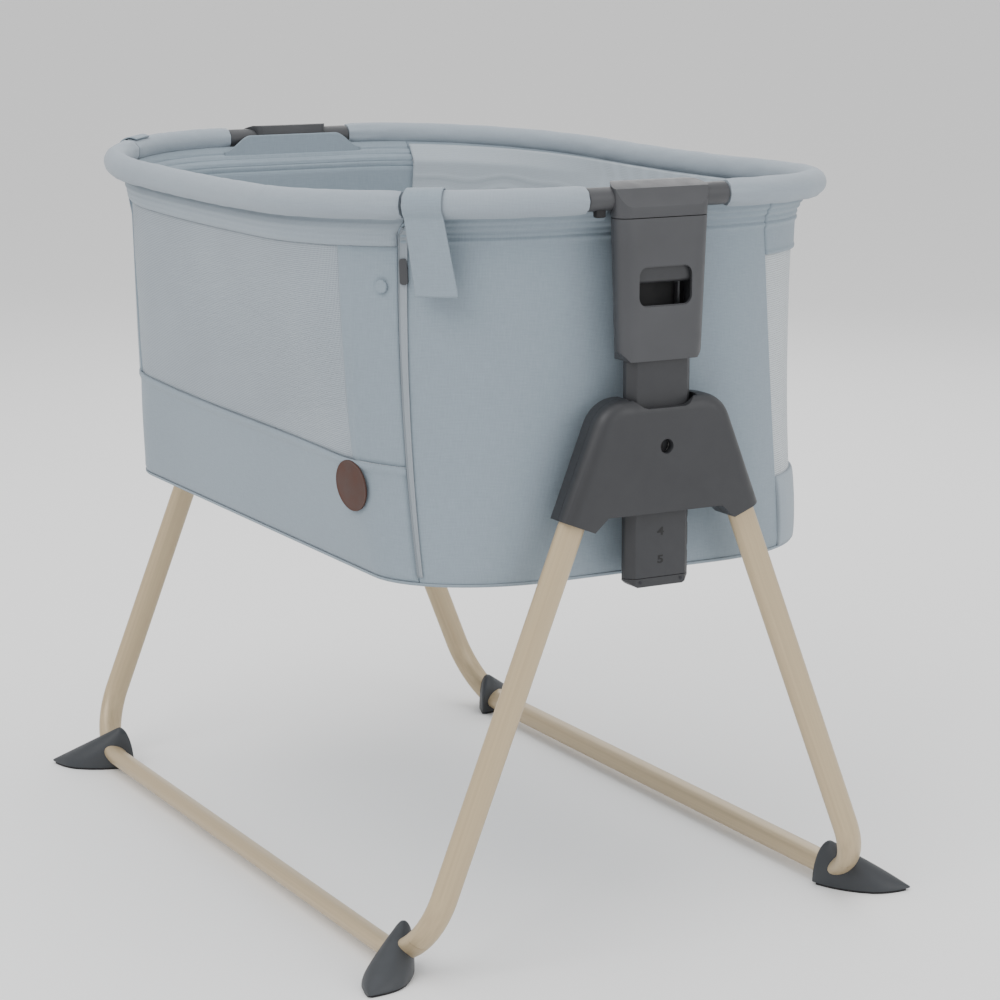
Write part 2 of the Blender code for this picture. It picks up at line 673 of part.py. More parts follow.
def notch():
    """The cut in the housing's top that the rail comes out of, in front of and behind it."""
    top, low = HOUSING_TOP + NOTCH_DEPTH, HOUSING_TOP - NOTCH_DEPTH
    spread = NOTCH_HALF_WIDTH + 2 * NOTCH_SPREAD
    profile = ((-NOTCH_HALF_WIDTH, low), (NOTCH_HALF_WIDTH, low), (spread, top), (-spread, top))
    rows = [[Vector((x, y, z)) for y, z in profile] for x in (END_X - HOUSING_DEPTH, END_X + HOUSING_DEPTH)]
    return loft(rows, closed=True, capped=True)


def slab(x_low, x_high, name, parent):
    """A cutter that keeps what lies between two planes across X."""
    return cutter(name, block((x_low, -WAY_PAST, 0.0), (x_high, WAY_PAST, WAY_PAST)), parent)


def build_housing(end, parent):
    split = END_X
    shells = {}
    for name, low, high in (("outer", split + GAP / 2, WAY_PAST), ("inner", 0.0, split - GAP / 2)):
        label = f"{end}_housing_{name}"
        item = place(label, to_mesh(label, housing_body()), PLASTIC, parent)
        cut(item, slab(low, high, label + "_keep", parent), "INTERSECT")
        shells[name] = item
    channel = cutter(f"{end}_channel", block(
        (RAIL_X - CHANNEL_DEPTH / 2, -CHANNEL_WIDTH / 2, 0.0),
        (RAIL_X + CHANNEL_DEPTH / 2, CHANNEL_WIDTH / 2, WAY_PAST)), parent)
    pocket = cutter(f"{end}_bolt_pocket", rod(
        BOLT_RADIUS + RUNNING_GAP, (RAIL_X, RAIL_WIDTH / 4, LOCK_HEIGHT), (RAIL_X, BOLT_ROOM_END, LOCK_HEIGHT), 16), parent)
    window = cutter(f"{end}_window", rod(
        WINDOW_RADIUS, (RAIL_X, 0, WINDOW_HEIGHT), (WAY_PAST, 0, WINDOW_HEIGHT), 20), parent)
    way_out = cutter(f"{end}_notch", notch(), parent)
    for item in shells.values():
        cut(item, way_out)
        cut(item, channel)
        cut(item, pocket)
        for side_y in (1, -1):
            socket = leg_socket(f"{item.name}_socket_{'right' if side_y > 0 else 'left'}", side_y, parent)
            cut(item, socket)
    cut(shells["outer"], window)


def leg_socket(name, side_y, parent):
    """The room for a leg's end in a housing."""
    rows = []
    frame = leg_frame(side_y)
    for along in (LEG_LENGTH / 2, LEG_LENGTH + GAP):
        ring = []
        for i in range(TUBE_SIDES):
            turn = 2 * math.pi * i / TUBE_SIDES
            ring.append(frame @ Vector((END_X + (TUBE_THIN / 2 + GAP) * math.cos(turn), along,
                                        (TUBE_WIDE / 2 + GAP) * math.sin(turn))))
        rows.append(ring)
    return cutter(name, loft(rows, closed=True, capped=True), parent)


def build_guide(end, parent):
    """The slippery liner of the housing's channel."""
    inner = [RAIL_DEPTH / 2 + RUNNING_GAP, RAIL_WIDTH / 2 + RUNNING_GAP]
    outer = [value + GUIDE_WALL for value in inner]
    low, high = HOUSING_WEB_BOTTOM + GUIDE_INSET, HOUSING_TOP - NOTCH_DEPTH - GUIDE_INSET
    bm = block((RAIL_X - outer[0], -outer[1], low), (RAIL_X + outer[0], outer[1], high))
    name = f"{end}_rail_guide"
    item = place(name, to_mesh(name, bm), GUIDE_FINISH, parent)
    bore = block((RAIL_X - inner[0], -inner[1], 0.0), (RAIL_X + inner[0], inner[1], WAY_PAST))
    cut(item, cutter(name + "_bore", bore, parent))
    cut(item, cutter(name + "_bolt_way", rod(
        BOLT_RADIUS + RUNNING_GAP, (RAIL_X, RAIL_WIDTH / 4, LOCK_HEIGHT), (RAIL_X, RAIL_WIDTH, LOCK_HEIGHT), 16), parent))
    cut(item, cutter(name + "_sight", rod(
        WINDOW_RADIUS, (RAIL_X, 0, WINDOW_HEIGHT), (WAY_PAST, 0, WINDOW_HEIGHT), 20), parent))


def coil(radius, wire, first, last, turns, name, material, parent):
    """A helical spring between two points on one axis."""
    first, last = Vector(first), Vector(last)
    along = last - first
    turn_frame = along.to_track_quat("Z", "Y").to_matrix()
    points = []
    for i in range(turns * COIL_STEPS + 1):
        angle = 2 * math.pi * i / COIL_STEPS
        height = wire + (along.length - 2 * wire) * i / (turns * COIL_STEPS)
        points.append(first + turn_frame @ Vector((radius * math.cos(angle), radius * math.sin(angle), height)))
    curve = bpy.data.curves.new(name, "CURVE")
    curve.dimensions = "3D"
    curve.bevel_depth = wire
    curve.bevel_resolution = 1
    curve.use_fill_caps = True
    spline = curve.splines.new("POLY")
    spline.points.add(len(points) - 1)
    for slot, point in zip(spline.points, points):
        slot.co = (*point, 1.0)
    path = bpy.data.objects.new(name + "_path", curve)
    CUTTERS.objects.link(path)
    bpy.context.view_layer.update()
    mesh = bpy.data.meshes.new_from_object(path.evaluated_get(bpy.context.evaluated_depsgraph_get()))
    bm = bmesh.new()
    bm.from_mesh(mesh)
    bmesh.ops.remove_doubles(bm, verts=bm.verts, dist=0.00002)
    bpy.data.objects.remove(path, do_unlink=True)
    place(name, to_mesh(name, bm), material, parent)


def build_lock(end, parent):
    """The bolt that drops into the rail's side, drawn back as while the lever is squeezed, and its spring."""
    nose = RAIL_WIDTH / 2 + GAP
    tail = nose + BOLT_LENGTH
    name = f"{end}_lock_bolt"
    bm = rod(BOLT_RADIUS, (RAIL_X, nose, LOCK_HEIGHT), (RAIL_X, tail, LOCK_HEIGHT), 16)
    tip = [e for e in bm.edges if all(abs(v.co.y - nose) < 1e-6 for v in e.verts)]
    round_edges(bm, tip, BOLT_CHAMFER, 1)
    pivot(place(name, to_mesh(name, bm), STEEL, parent), (RAIL_X, nose, LOCK_HEIGHT))
    coil(BOLT_SPRING_RADIUS, BOLT_SPRING_WIRE, (RAIL_X, tail + GAP, LOCK_HEIGHT),
         (RAIL_X, BOLT_ROOM_END - GAP, LOCK_HEIGHT), BOLT_SPRING_TURNS, f"{end}_bolt_spring", STEEL, parent)


def rail_section(inset, low, high):
    """A length of the rail's outline, drawn in all round, as a bmesh."""
    front, half, corner = RAIL_DEPTH / 2, RAIL_WIDTH / 2, RAIL_CHAMFER
    right = [(front, half - corner), (front - corner, half), (corner - front, half), (-front, half - corner)]
    ring = [Vector((RAIL_X + x, y)) for x, y in right] + [Vector((RAIL_X + x, -y)) for x, y in reversed(right)]
    ring = shrunk(ring, inset) if inset else ring
    return loft([[Vector((p.x, p.y, z)) for p in ring] for z in (low, high)], closed=True, capped=True)


def build_rail(end, parent):
    """A box post with chamfered corners, five lock holes in one side and an end cap."""
    half = RAIL_WIDTH / 2
    name = f"{end}_rail"
    low = RAIL_BOTTOM + RAIL_CAP_HEIGHT + GAP
    item = place(name, to_mesh(name, rail_section(0.0, low, RAIL_TOP)), PLASTIC, parent)
    cut(item, cutter(name + "_bore", rail_section(RAIL_WALL, RAIL_BOTTOM, POD_TOP), parent))
    for step in range(POSITIONS):
        z = LOCK_HEIGHT - step * POSITION_PITCH
        hole = rod(LOCK_HOLE_RADIUS, (RAIL_X, half / 2, z), (RAIL_X, 2 * half, z), 14)
        cut(item, cutter(f"{name}_hole_{step + 1}", hole, parent))
    cap = f"{end}_rail_cap"
    bm = rail_section(0.0, RAIL_BOTTOM, RAIL_BOTTOM + RAIL_CAP_HEIGHT)
    bmesh.ops.recalc_face_normals(bm, faces=bm.faces)
    cut_corners(bm, half, RAIL_BOTTOM, RAIL_CAP_CORNER_WIDTH, RAIL_CAP_CORNER)
    plug = rail_section(RAIL_WALL + GAP, RAIL_BOTTOM + RAIL_CAP_HEIGHT / 2 + RAIL_CAP_CORNER / 2, low + PLUG_HEIGHT)
    item = place(cap, to_mesh(cap, bm), PLASTIC, parent)
    cut(item, cutter(cap + "_plug", plug, parent), "UNION")


def pod_body():
    """The pod's outer form: a head that narrows downwards and towards the tub, its front corners broadly rounded."""
    low_x, high_x = RAIL_X - POD_BACK, RAIL_X + POD_FRONT
    bm = block((low_x, -POD_FRONT_HALF_WIDTH, POD_BOTTOM), (high_x, POD_FRONT_HALF_WIDTH, POD_TOP))
    for vertex in bm.verts:
        half = POD_FRONT_HALF_WIDTH if vertex.co.x > RAIL_X else POD_BACK_HALF_WIDTH
        vertex.co.y = math.copysign(half if vertex.co.z > RAIL_TOP else half - POD_TAPER, vertex.co.y)
    for x, width, steps in ((high_x, POD_FRONT_ROUND, 5), (low_x, POD_BACK_ROUND, 2)):
        round_edges(bm, [e for e in bm.edges if upright(e) and all(abs(v.co.x - x) < 1e-6 for v in e.verts)], width, steps)
    brow = (high_x - CAP_BROW_RUN, 0.0, POD_TOP - CAP_BROW_DROP)
    slice_off(bm, brow, (CAP_FACE_DROP - CAP_BROW_DROP, 0.0, CAP_BROW_RUN))
    slice_off(bm, brow, (CAP_BROW_DROP, 0.0, CAP_SLOPE_RUN - CAP_BROW_RUN))
    cut_corners(bm, POD_CORNER_Y, POD_BOTTOM, POD_CORNER_WIDTH, POD_CORNER_HEIGHT)
    return bm


def build_pod(end, parent):
    split = RAIL_X + POD_SPLIT
    barrel_y = BARREL_LENGTH
    barrel_way = cutter(f"{end}_barrel_way", rod(
        BARREL_RADIUS + GAP, (RIM_HALF_LENGTH, -barrel_y, RIM_HEIGHT), (RIM_HALF_LENGTH, barrel_y, RIM_HEIGHT), 32),
        parent)
    rail_way = cutter(f"{end}_rail_seat", block(
        (RAIL_X - RAIL_DEPTH / 2 - GAP, -RAIL_WIDTH / 2 - GAP, 0.0),
        (RAIL_X + RAIL_DEPTH / 2 + GAP, RAIL_WIDTH / 2 + GAP, RAIL_TOP + GAP)), parent)
    cavity = cutter(f"{end}_lever_room", block(
        (RAIL_X - RAIL_DEPTH / 2, -CAVITY_HALF_WIDTH, RAIL_TOP),
        (RAIL_X + POD_FRONT - POD_WALL, CAVITY_HALF_WIDTH, CAVITY_TOP)), parent)
    slot = block((split, -SLOT_WIDTH / 2, SLOT_BOTTOM), (RAIL_X + 2 * POD_FRONT, SLOT_WIDTH / 2, SLOT_TOP))
    round_edges(slot, [e for e in slot.edges if abs((e.verts[1].co - e.verts[0].co).x) > 1e-6], SLOT_RADIUS, 4)
    slot = cutter(f"{end}_finger_slot", slot, parent)
    below = cutter(f"{end}_below_cap", block((0.0, -WAY_PAST, 0.0), (WAY_PAST, WAY_PAST, CAP_BOTTOM - GAP)), parent)
    pieces = (("pod_front", split + GAP / 2, WAY_PAST), ("pod_back", 0.0, split - GAP / 2))
    for kind, low, high in pieces:
        name = f"{end}_{kind}"
        item = place(name, to_mesh(name, pod_body()), POD_PLASTIC, parent)
        cut(item, slab(low, high, name + "_keep", parent), "INTERSECT")
        cut(item, below, "INTERSECT")
        cut(item, rail_way)
        cut(item, cavity)
        if kind == "pod_front":
            cut(item, slot)
    cap = place(f"{end}_pod_cap", to_mesh(f"{end}_pod_cap", pod_body()), POD_PLASTIC, parent)
    cut(cap, cutter(f"{end}_above_parting", block((0.0, -WAY_PAST, CAP_BOTTOM), (WAY_PAST, WAY_PAST, WAY_PAST)), parent), "INTERSECT")
    cut(cap, barrel_way)
    barrel = f"{end}_barrel"
    sleeve = rod(BARREL_RADIUS, (RIM_HALF_LENGTH, -BARREL_LENGTH / 2, RIM_HEIGHT),
                 (RIM_HALF_LENGTH, BARREL_LENGTH / 2, RIM_HEIGHT), 32)
    rims = [e for e in sleeve.edges if abs(e.verts[0].co.y - e.verts[1].co.y) < 1e-6]
    round_edges(sleeve, rims, BARREL_CHAMFER, 1)
    item = place(barrel, to_mesh(barrel, sleeve), PLASTIC, parent)
    cut(item, cutter(barrel + "_bore", rod(
        HOOP_RADIUS + GAP, (RIM_HALF_LENGTH, -barrel_y, RIM_HEIGHT), (RIM_HALF_LENGTH, barrel_y, RIM_HEIGHT), 16),
        parent))


def build_lever(end, parent):
    """The grip plate behind the finger slot, its return spring, and the strip down to the lock."""
    front = RAIL_X + POD_FRONT - POD_WALL - RUNNING_GAP
    name = f"{end}_release_lever"
    bm = block((front - LEVER_DEPTH, -LEVER_HALF_WIDTH, LEVER_BOTTOM), (front, LEVER_HALF_WIDTH, LEVER_TOP))
    lip = [e for e in bm.edges if all(v.co.z < LEVER_BOTTOM + 1e-6 and v.co.x > front - 1e-6 for v in e.verts)]
    round_edges(bm, lip, LEVER_LIP, 3)
    middle = front - LEVER_DEPTH / 2
    pivot(place(name, to_mesh(name, bm), PLASTIC, parent), (middle, 0.0, LEVER_TOP))
    coil(LEVER_SPRING_RADIUS, LEVER_SPRING_WIRE, (middle, 0, LEVER_TOP + GAP), (middle, 0, CAVITY_TOP - GAP),
         LEVER_SPRING_TURNS, f"{end}_lever_spring", STEEL, parent)
    back = front - LEVER_DEPTH - GAP
    strip = block((back - STRIP_DEPTH, STRIP_MIDDLE - STRIP_THICKNESS / 2, STRIP_BOTTOM),
                  (back, STRIP_MIDDLE + STRIP_THICKNESS / 2, STRIP_TOP))
    label = f"{end}_release_strip"
    pivot(place(label, to_mesh(label, strip), STEEL, parent), (back, STRIP_MIDDLE, STRIP_TOP))


def build_end(end, turn):
    frame = bpy.data.objects.new(f"{end}_end", None)
    PARTS.objects.link(frame)
    frame.rotation_euler = (0.0, 0.0, turn)
    build_housing(end, frame)
    build_guide(end, frame)
    build_lock(end, frame)
    build_rail(end, frame)
    build_pod(end, frame)
    build_lever(end, frame)


# Tub

def corner_runs(start, stop):
    """The stretches of a run of angles that lie in one corner each."""
    breaks = [start] + [90.0 * k for k in range(-4, 9) if start < 90.0 * k < stop] + [stop]
    return list(zip(breaks, breaks[1:]))


def wall_rows(first, last, step):
    """Rows of a wall between two seams, each given as its angle at the top and at the bottom."""
    heights = [WALL_BOTTOM, BAND_TOP, (BAND_TOP + NECK) / 2, NECK, HEM_TOP]
    widest = corner_runs(min(first), max(last))
    counts = [max(1, math.ceil((high - low) / step)) for low, high in widest]
    rows = []
    for z in heights:
        start = edge_angle(*first, z) + SEAM_ANGLE
        stop = edge_angle(*last, z) - SEAM_ANGLE
        outline = wall_outline(z)
        row = []
        for (low, high), count in zip(corner_runs(start, stop), counts):
            quarter = math.floor((low + high) / 180) % 4
            row += [outline.at(low + (high - low) * i / count, quarter) for i in range(count + 1)]
        rows.append([settle(point, z) for point in row])
    return rows


def build_wall(name, first, last, material, step=7.5):
    bm = loft(wall_rows(first, last, step))
    middle = sum((v.co for v in bm.verts), Vector()) / len(bm.verts)
    bmesh.ops.recalc_face_normals(bm, faces=bm.faces)
    face = bm.faces[len(bm.faces) // 2]
    if face.normal.dot(Vector((middle.x, middle.y, 0.0))) < 0:
        bmesh.ops.reverse_faces(bm, faces=bm.faces)
    item = place(name, to_mesh(name, bm, outward=False), material)
    thicken(item, WALL_THICKNESS)
    return item


def hang(item):
    """Put a piece of the drop side under the empty on its hinge, without moving it."""
    item.parent = HINGE
    item.matrix_parent_inverse = HINGE.matrix_world.inverted()


def build_hinge():
    """The line along the bottom of the drop side that it folds down about."""
    frame = bpy.data.objects.new("drop_side_hinge", None)
    PARTS.objects.link(frame)
    frame.location = (0.0, -TUB_BOTTOM_HALF_WIDTH, WALL_BOTTOM)
    bpy.context.view_layer.update()
    return frame


HINGE = build_hinge()


def build_tub():
    zip_far = (180.0 + ZIP_ANGLE_TOP, 180.0 + ZIP_ANGLE_BOTTOM)
    zip_near = (360.0 - ZIP_ANGLE_TOP, 360.0 - ZIP_ANGLE_BOTTOM)
    mesh_near = (MESH_ANGLE_TOP, MESH_ANGLE_BOTTOM)
    mesh_far = (180.0 - MESH_ANGLE_TOP, 180.0 - MESH_ANGLE_BOTTOM)
    near = build_wall("near_end_wall", (zip_near[0] - 360.0, zip_near[1] - 360.0), mesh_near, FABRIC)
    far = build_wall("far_end_wall", mesh_far, zip_far, FABRIC)
    build_wall("mesh_side", mesh_near, mesh_far, MESH_FABRIC)
    hang(build_wall("drop_side", zip_far, zip_near, FABRIC))
    room = POD_BACK_HALF_WIDTH + POD_ROOM
    face = RAIL_X - POD_BACK - POD_PARTING
    for item, side in ((near, 1), (far, -1)):
        low, high = sorted((side * face, side * WAY_PAST))
        cut(item, cutter(item.name + "_pod_notch", block((low, -room, POD_BOTTOM), (high, room, WAY_PAST))))
        reach = BARREL_LENGTH / 2 + BARREL_PARTING
        cut(item, cutter(item.name + "_barrel_notch", rod(
            BARREL_RADIUS + BARREL_PARTING, (side * RIM_HALF_LENGTH, -reach, RIM_HEIGHT),
            (side * RIM_HALF_LENGTH, reach, RIM_HEIGHT), 32)))
    ring = TUB_BASE.ring(PLAN_STEP)
    cover = loft([[Vector((p.x, p.y, z)) for p in ring] for z in (TUB_BOTTOM, FLOOR_TOP)], True, True)
    edge = [e for e in cover.edges if all(abs(v.co.z - TUB_BOTTOM) < 1e-6 for v in e.verts)]
    round_edges(cover, edge, BOTTOM_COVER_EDGE, 1)
    place("bottom_cover", to_mesh("bottom_cover", cover), FABRIC)
    ring = TUB_BASE.inset(WALL_THICKNESS + BOARD_PARTING).ring(PLAN_STEP)
    board = loft([[Vector((p.x, p.y, z)) for p in ring] for z in (WALL_BOTTOM, BOARD_TOP)], True, True)
    place("base_board", to_mesh("base_board", board), BOARD)
    build_mattress()


def build_mattress():
    """A crowned cushion: sides drawn in at top and bottom, its middle a little higher."""
    bottom = BOARD_TOP + GAP
    waist = TUB_BASE.inset(MATTRESS_INSET)
    levels = ((0.0, 0.012, 0.0), (0.10, 0.003, 0.0), (0.5, 0.0, 0.0), (0.86, 0.003, 0.0), (1.0, 0.014, 0.0),
              (1.0, 0.060, 0.55), (1.0, 0.130, 0.90))
    rows = []
    for share, inset, crown in levels:
        z = bottom + (MATTRESS_THICKNESS - MATTRESS_CROWN) * share + MATTRESS_CROWN * crown
        rows.append([Vector((p.x, p.y, z)) for p in waist.inset(inset).ring(11.25)])
    bm = loft(rows, closed=True, capped=True)
    place("mattress", to_mesh("mattress", bm), TICKING)


# Rim

def build_rim():
    joint = ZIP_ANGLE_TOP
    reach = math.degrees(DROP_LIMIT_PARTING / RIM_CORNER_LENGTH)
    fixed = rim_path(-joint + reach, 180.0 + joint - reach, RIM_STEP)
    hinged = rim_path(180.0 + joint + reach, 360.0 - joint - reach, RIM_STEP)
    hoop = (HOOP_RADIUS, HOOP_RADIUS)
    tube("rim_hoop", fixed, hoop, HOOP_SIDES, STEEL, HOOP_WALL)
    hang(tube("drop_bar", hinged, hoop, HOOP_SIDES, STEEL, HOOP_WALL))
    wall = PADDING_RADIUS * math.cos(math.pi / PADDING_SIDES) - HOOP_RADIUS - 2 * GAP
    ends = [Vector((side_x * RIM_HALF_LENGTH, side_y * (BARREL_LENGTH / 2 + 2 * GAP), RIM_HEIGHT))
            for side_x in (1, -1) for side_y in (-1, 1)]
    past = 2.0                  # degrees beyond a barrel's middle where a sleeve's bend begins
    sleeves = (("near_corner_padding", rim_path(-joint + reach, -past, RIM_STEP) + [ends[0]]),
               ("far_corner_padding", [ends[2]] + rim_path(180.0 + past, 180.0 + joint - reach, RIM_STEP)),
               ("mesh_side_padding", [ends[1]] + rim_path(past, 180.0 - past, RIM_STEP) + [ends[3]]),
               ("drop_bar_padding", hinged))
    for name, points in sleeves:
        item = tube(name, points, (PADDING_RADIUS, PADDING_RADIUS), PADDING_SIDES, FABRIC, wall)
        if name == "drop_bar_padding":
            hang(item)


# Trim on the drop side

def surface(angle, z, out=0.0):
    """A point on the tub's outer face and the way out of it."""
    outline = wall_outline(z)
    here = outline.at(angle)
    ahead = outline.at(angle + 0.5)
    run = (ahead - here).normalized()
    lower, upper = wall_outline(z - 0.005).at(angle), wall_outline(z + 0.005).at(angle)
    rise = (Vector((upper.x, upper.y, 0.005)) - Vector((lower.x, lower.y, -0.005))).normalized()
    normal = Vector((run.x, run.y, 0.0)).cross(rise).normalized()
    return settle(here, z) + normal * out, normal


def angle_at_x(x, z):
    """The outline angle on the drop side's near corner that lies at x."""
    low, high = 270.0, 359.0
    for _ in range(40):
        middle = (low + high) / 2
        if wall_outline(z).at(middle).x < x:
            low = middle
        else:
            high = middle
    return (low + high) / 2


def build_trim():
    point, normal = surface(angle_at_x(BADGE_X, BADGE_Z), BADGE_Z)
    back = point + normal * 2 * GAP
    badge = rod(BADGE_RADIUS, back, back + normal * BADGE_THICKNESS, 28)
    rim = [e for e in badge.edges if all((v.co - back).dot(normal) > BADGE_THICKNESS * 0.9 for v in e.verts)]
    round_edges(badge, rim, BADGE_THICKNESS * 0.35, 2)
    hang(place("round_badge", to_mesh("round_badge", badge), LEATHER))
    for end, side in (("near", 1), ("far", -1)):
        build_flap(f"{end}_corner_flap", side)
        build_pull(f"{end}_zip_pull", side)


def build_flap(name, side):
    """A strap that hangs over the rim beside the zip: round the padding, then down the wall."""
    skin = PADDING_RADIUS + 2 * GAP + FLAP_THICKNESS
    section = [(skin * math.cos(math.radians(a)), skin * math.sin(math.radians(a))) for a in (70, 40, 10, -15)]
    section += [(FLAP_BEND_OUT, -FLAP_BEND), (FLAP_TIP_OUT, -FLAP_DROP)]
    rows = []
    first, last = FLAP_ANGLE_FIRST, FLAP_ANGLE_LAST
    for out, rise in section:
        row = []
        for i in range(4):
            angle = first + (last - first) * i / 3
            turn = (360.0 - angle) if side > 0 else (180.0 + angle)
            here = RIM.at(turn)
            run = (RIM.at(turn + 0.5) - here).normalized()
            outward = Vector((run.y, -run.x))
            flat = here + outward * out
            row.append(Vector((flat.x, flat.y, RIM_HEIGHT - dip(here.x) + rise)))
        rows.append(row)
    bm = loft(rows)
    bmesh.ops.recalc_face_normals(bm, faces=bm.faces)
    face = min(bm.faces, key=lambda f: f.calc_center_median().z)
    if face.normal.dot(Vector((side, -1.0, 0.0))) < 0:
        bmesh.ops.reverse_faces(bm, faces=bm.faces)
    item = place(name, to_mesh(name, bm, outward=False), FABRIC)
    thicken(item, FLAP_THICKNESS)


def pull_place(side, z):
    """A point on the end wall beside the zip, clear of the drop side, and the way out of the wall."""
    angle = edge_angle(ZIP_ANGLE_TOP, ZIP_ANGLE_BOTTOM, z) - PULL_OFFSET_ANGLE
    return surface((360.0 - angle) if side > 0 else (180.0 + angle), z)


def build_pull(name, side):
    """A zip slider's tab at the top of the zip."""
    middle = PULL_TOP - PULL_HEIGHT / 2
    point, normal = pull_place(side, middle)
    up = (point - pull_place(side, middle - PULL_TRAVEL)[0]).normalized()
    normal = (normal - up * normal.dot(up)).normalized()
    across = up.cross(normal).normalized()
    frame = Matrix((across, up, normal)).transposed().to_4x4()
    frame.translation = point + normal * (PULL_THICKNESS / 2 + PULL_STANDOFF)
    bm = block((-PULL_WIDTH / 2, -PULL_HEIGHT / 2, -PULL_THICKNESS / 2),
               (PULL_WIDTH / 2, PULL_HEIGHT / 2, PULL_THICKNESS / 2))
    round_edges(bm, [e for e in bm.edges if abs((e.verts[1].co - e.verts[0].co).z) > 1e-6], PULL_ROUND, 2)
    item = place(name, to_mesh(name, bm), PLASTIC)
    item.matrix_world = frame


def build_stand():
    for side_x, end in ((1, "near"), (-1, "far")):
        for side_y, side in ((-1, "left"), (1, "right")):
            build_leg(f"{end}_{side}_leg", side_x, side_y)
    for side_y, side in ((-1, "left"), (1, "right")):
        build_floor_bar(f"{side}_floor_bar", side_y)
    build_feet()


build_stand()
build_end("near", 0.0)
build_end("far", math.pi)
build_tub()
build_rim()
build_trim()
bpy.context.view_layer.update()
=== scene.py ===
"""Dressed model of a bedside bassinet: an oval cloth tub that slides up and down on a splayed tube stand.

Metres, +Z up, the origin on the floor under the middle of the tub. The near end is at +X, the drop side
at -Y and the mesh side at +Y. Both ends carry the same parts, turned half round about Z.
"""
from __future__ import annotations

import functools
import json
import logging
import math
from dataclasses import dataclass, field
from enum import Enum
from typing import Callable, Iterable, Sequence

import bmesh
import bpy
from mathutils import Matrix, Vector, noise

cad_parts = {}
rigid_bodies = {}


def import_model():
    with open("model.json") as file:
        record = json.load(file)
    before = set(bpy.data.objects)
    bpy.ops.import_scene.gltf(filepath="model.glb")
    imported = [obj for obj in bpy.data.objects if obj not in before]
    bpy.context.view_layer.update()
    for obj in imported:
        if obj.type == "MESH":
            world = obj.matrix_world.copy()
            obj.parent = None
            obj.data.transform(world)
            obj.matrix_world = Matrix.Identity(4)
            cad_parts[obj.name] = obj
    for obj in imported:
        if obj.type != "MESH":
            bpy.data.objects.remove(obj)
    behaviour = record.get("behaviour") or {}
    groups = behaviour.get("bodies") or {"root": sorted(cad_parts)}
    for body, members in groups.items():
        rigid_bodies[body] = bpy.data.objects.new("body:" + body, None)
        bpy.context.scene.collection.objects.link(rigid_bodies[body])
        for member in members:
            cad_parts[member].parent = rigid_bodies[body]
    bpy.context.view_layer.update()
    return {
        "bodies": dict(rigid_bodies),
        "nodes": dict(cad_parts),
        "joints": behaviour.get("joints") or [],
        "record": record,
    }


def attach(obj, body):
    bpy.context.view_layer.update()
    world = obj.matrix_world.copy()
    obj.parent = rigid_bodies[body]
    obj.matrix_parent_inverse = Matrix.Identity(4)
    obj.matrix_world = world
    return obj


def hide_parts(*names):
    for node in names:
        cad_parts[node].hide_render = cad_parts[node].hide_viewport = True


LOG = logging.getLogger("bassinet")
Colour = tuple[float, float, float]
Place = Callable[[float, float], Vector]
Section = Callable[[float, float], tuple[float, float]]
Relief = Callable[[float, float, float], float]
Height = Callable[[float], float]
Cloth = bpy.types.Object
Mesh = bmesh.types.BMesh
Edge = bmesh.types.BMEdge
Socket = bpy.types.NodeSocket


class Body(Enum):
    """The rigid bodies that pieces ride on."""

    STAND = "stand"
    CARRIAGE = "carriage"
    DROP_SIDE = "drop_side_panel"
    NEAR_LEVER = "near_lever"
    FAR_LEVER = "far_lever"


class End(Enum):
    """The two ends of the bassinet, each with its turn about Z."""

    NEAR = "near"
    FAR = "far"

    @property
    def turn(self) -> Matrix:
        """Return the rotation that puts a piece modelled at +X on this end."""
        return Matrix.Rotation(0.0 if self is End.NEAR else math.pi, 4, "Z")

    @property
    def side(self) -> int:
        """Return 1 for the near end and -1 for the far one."""
        return 1 if self is End.NEAR else -1

    @property
    def lever(self) -> Body:
        """Return the body of this end's release lever."""
        return Body.NEAR_LEVER if self is End.NEAR else Body.FAR_LEVER


def linear(red: int, green: int, blue: int) -> Colour:
    """Turn a colour as the eye sees it, 0 to 255, into the linear values that shaders take.

    Args:
        red, green, blue: the colour's parts.

    Returns:
        The linear colour.
    """
    parts = [value / 255 for value in (red, green, blue)]
    return tuple(v / 12.92 if v <= 0.04045 else ((v + 0.055) / 1.055) ** 2.4 for v in parts)


# Finishes

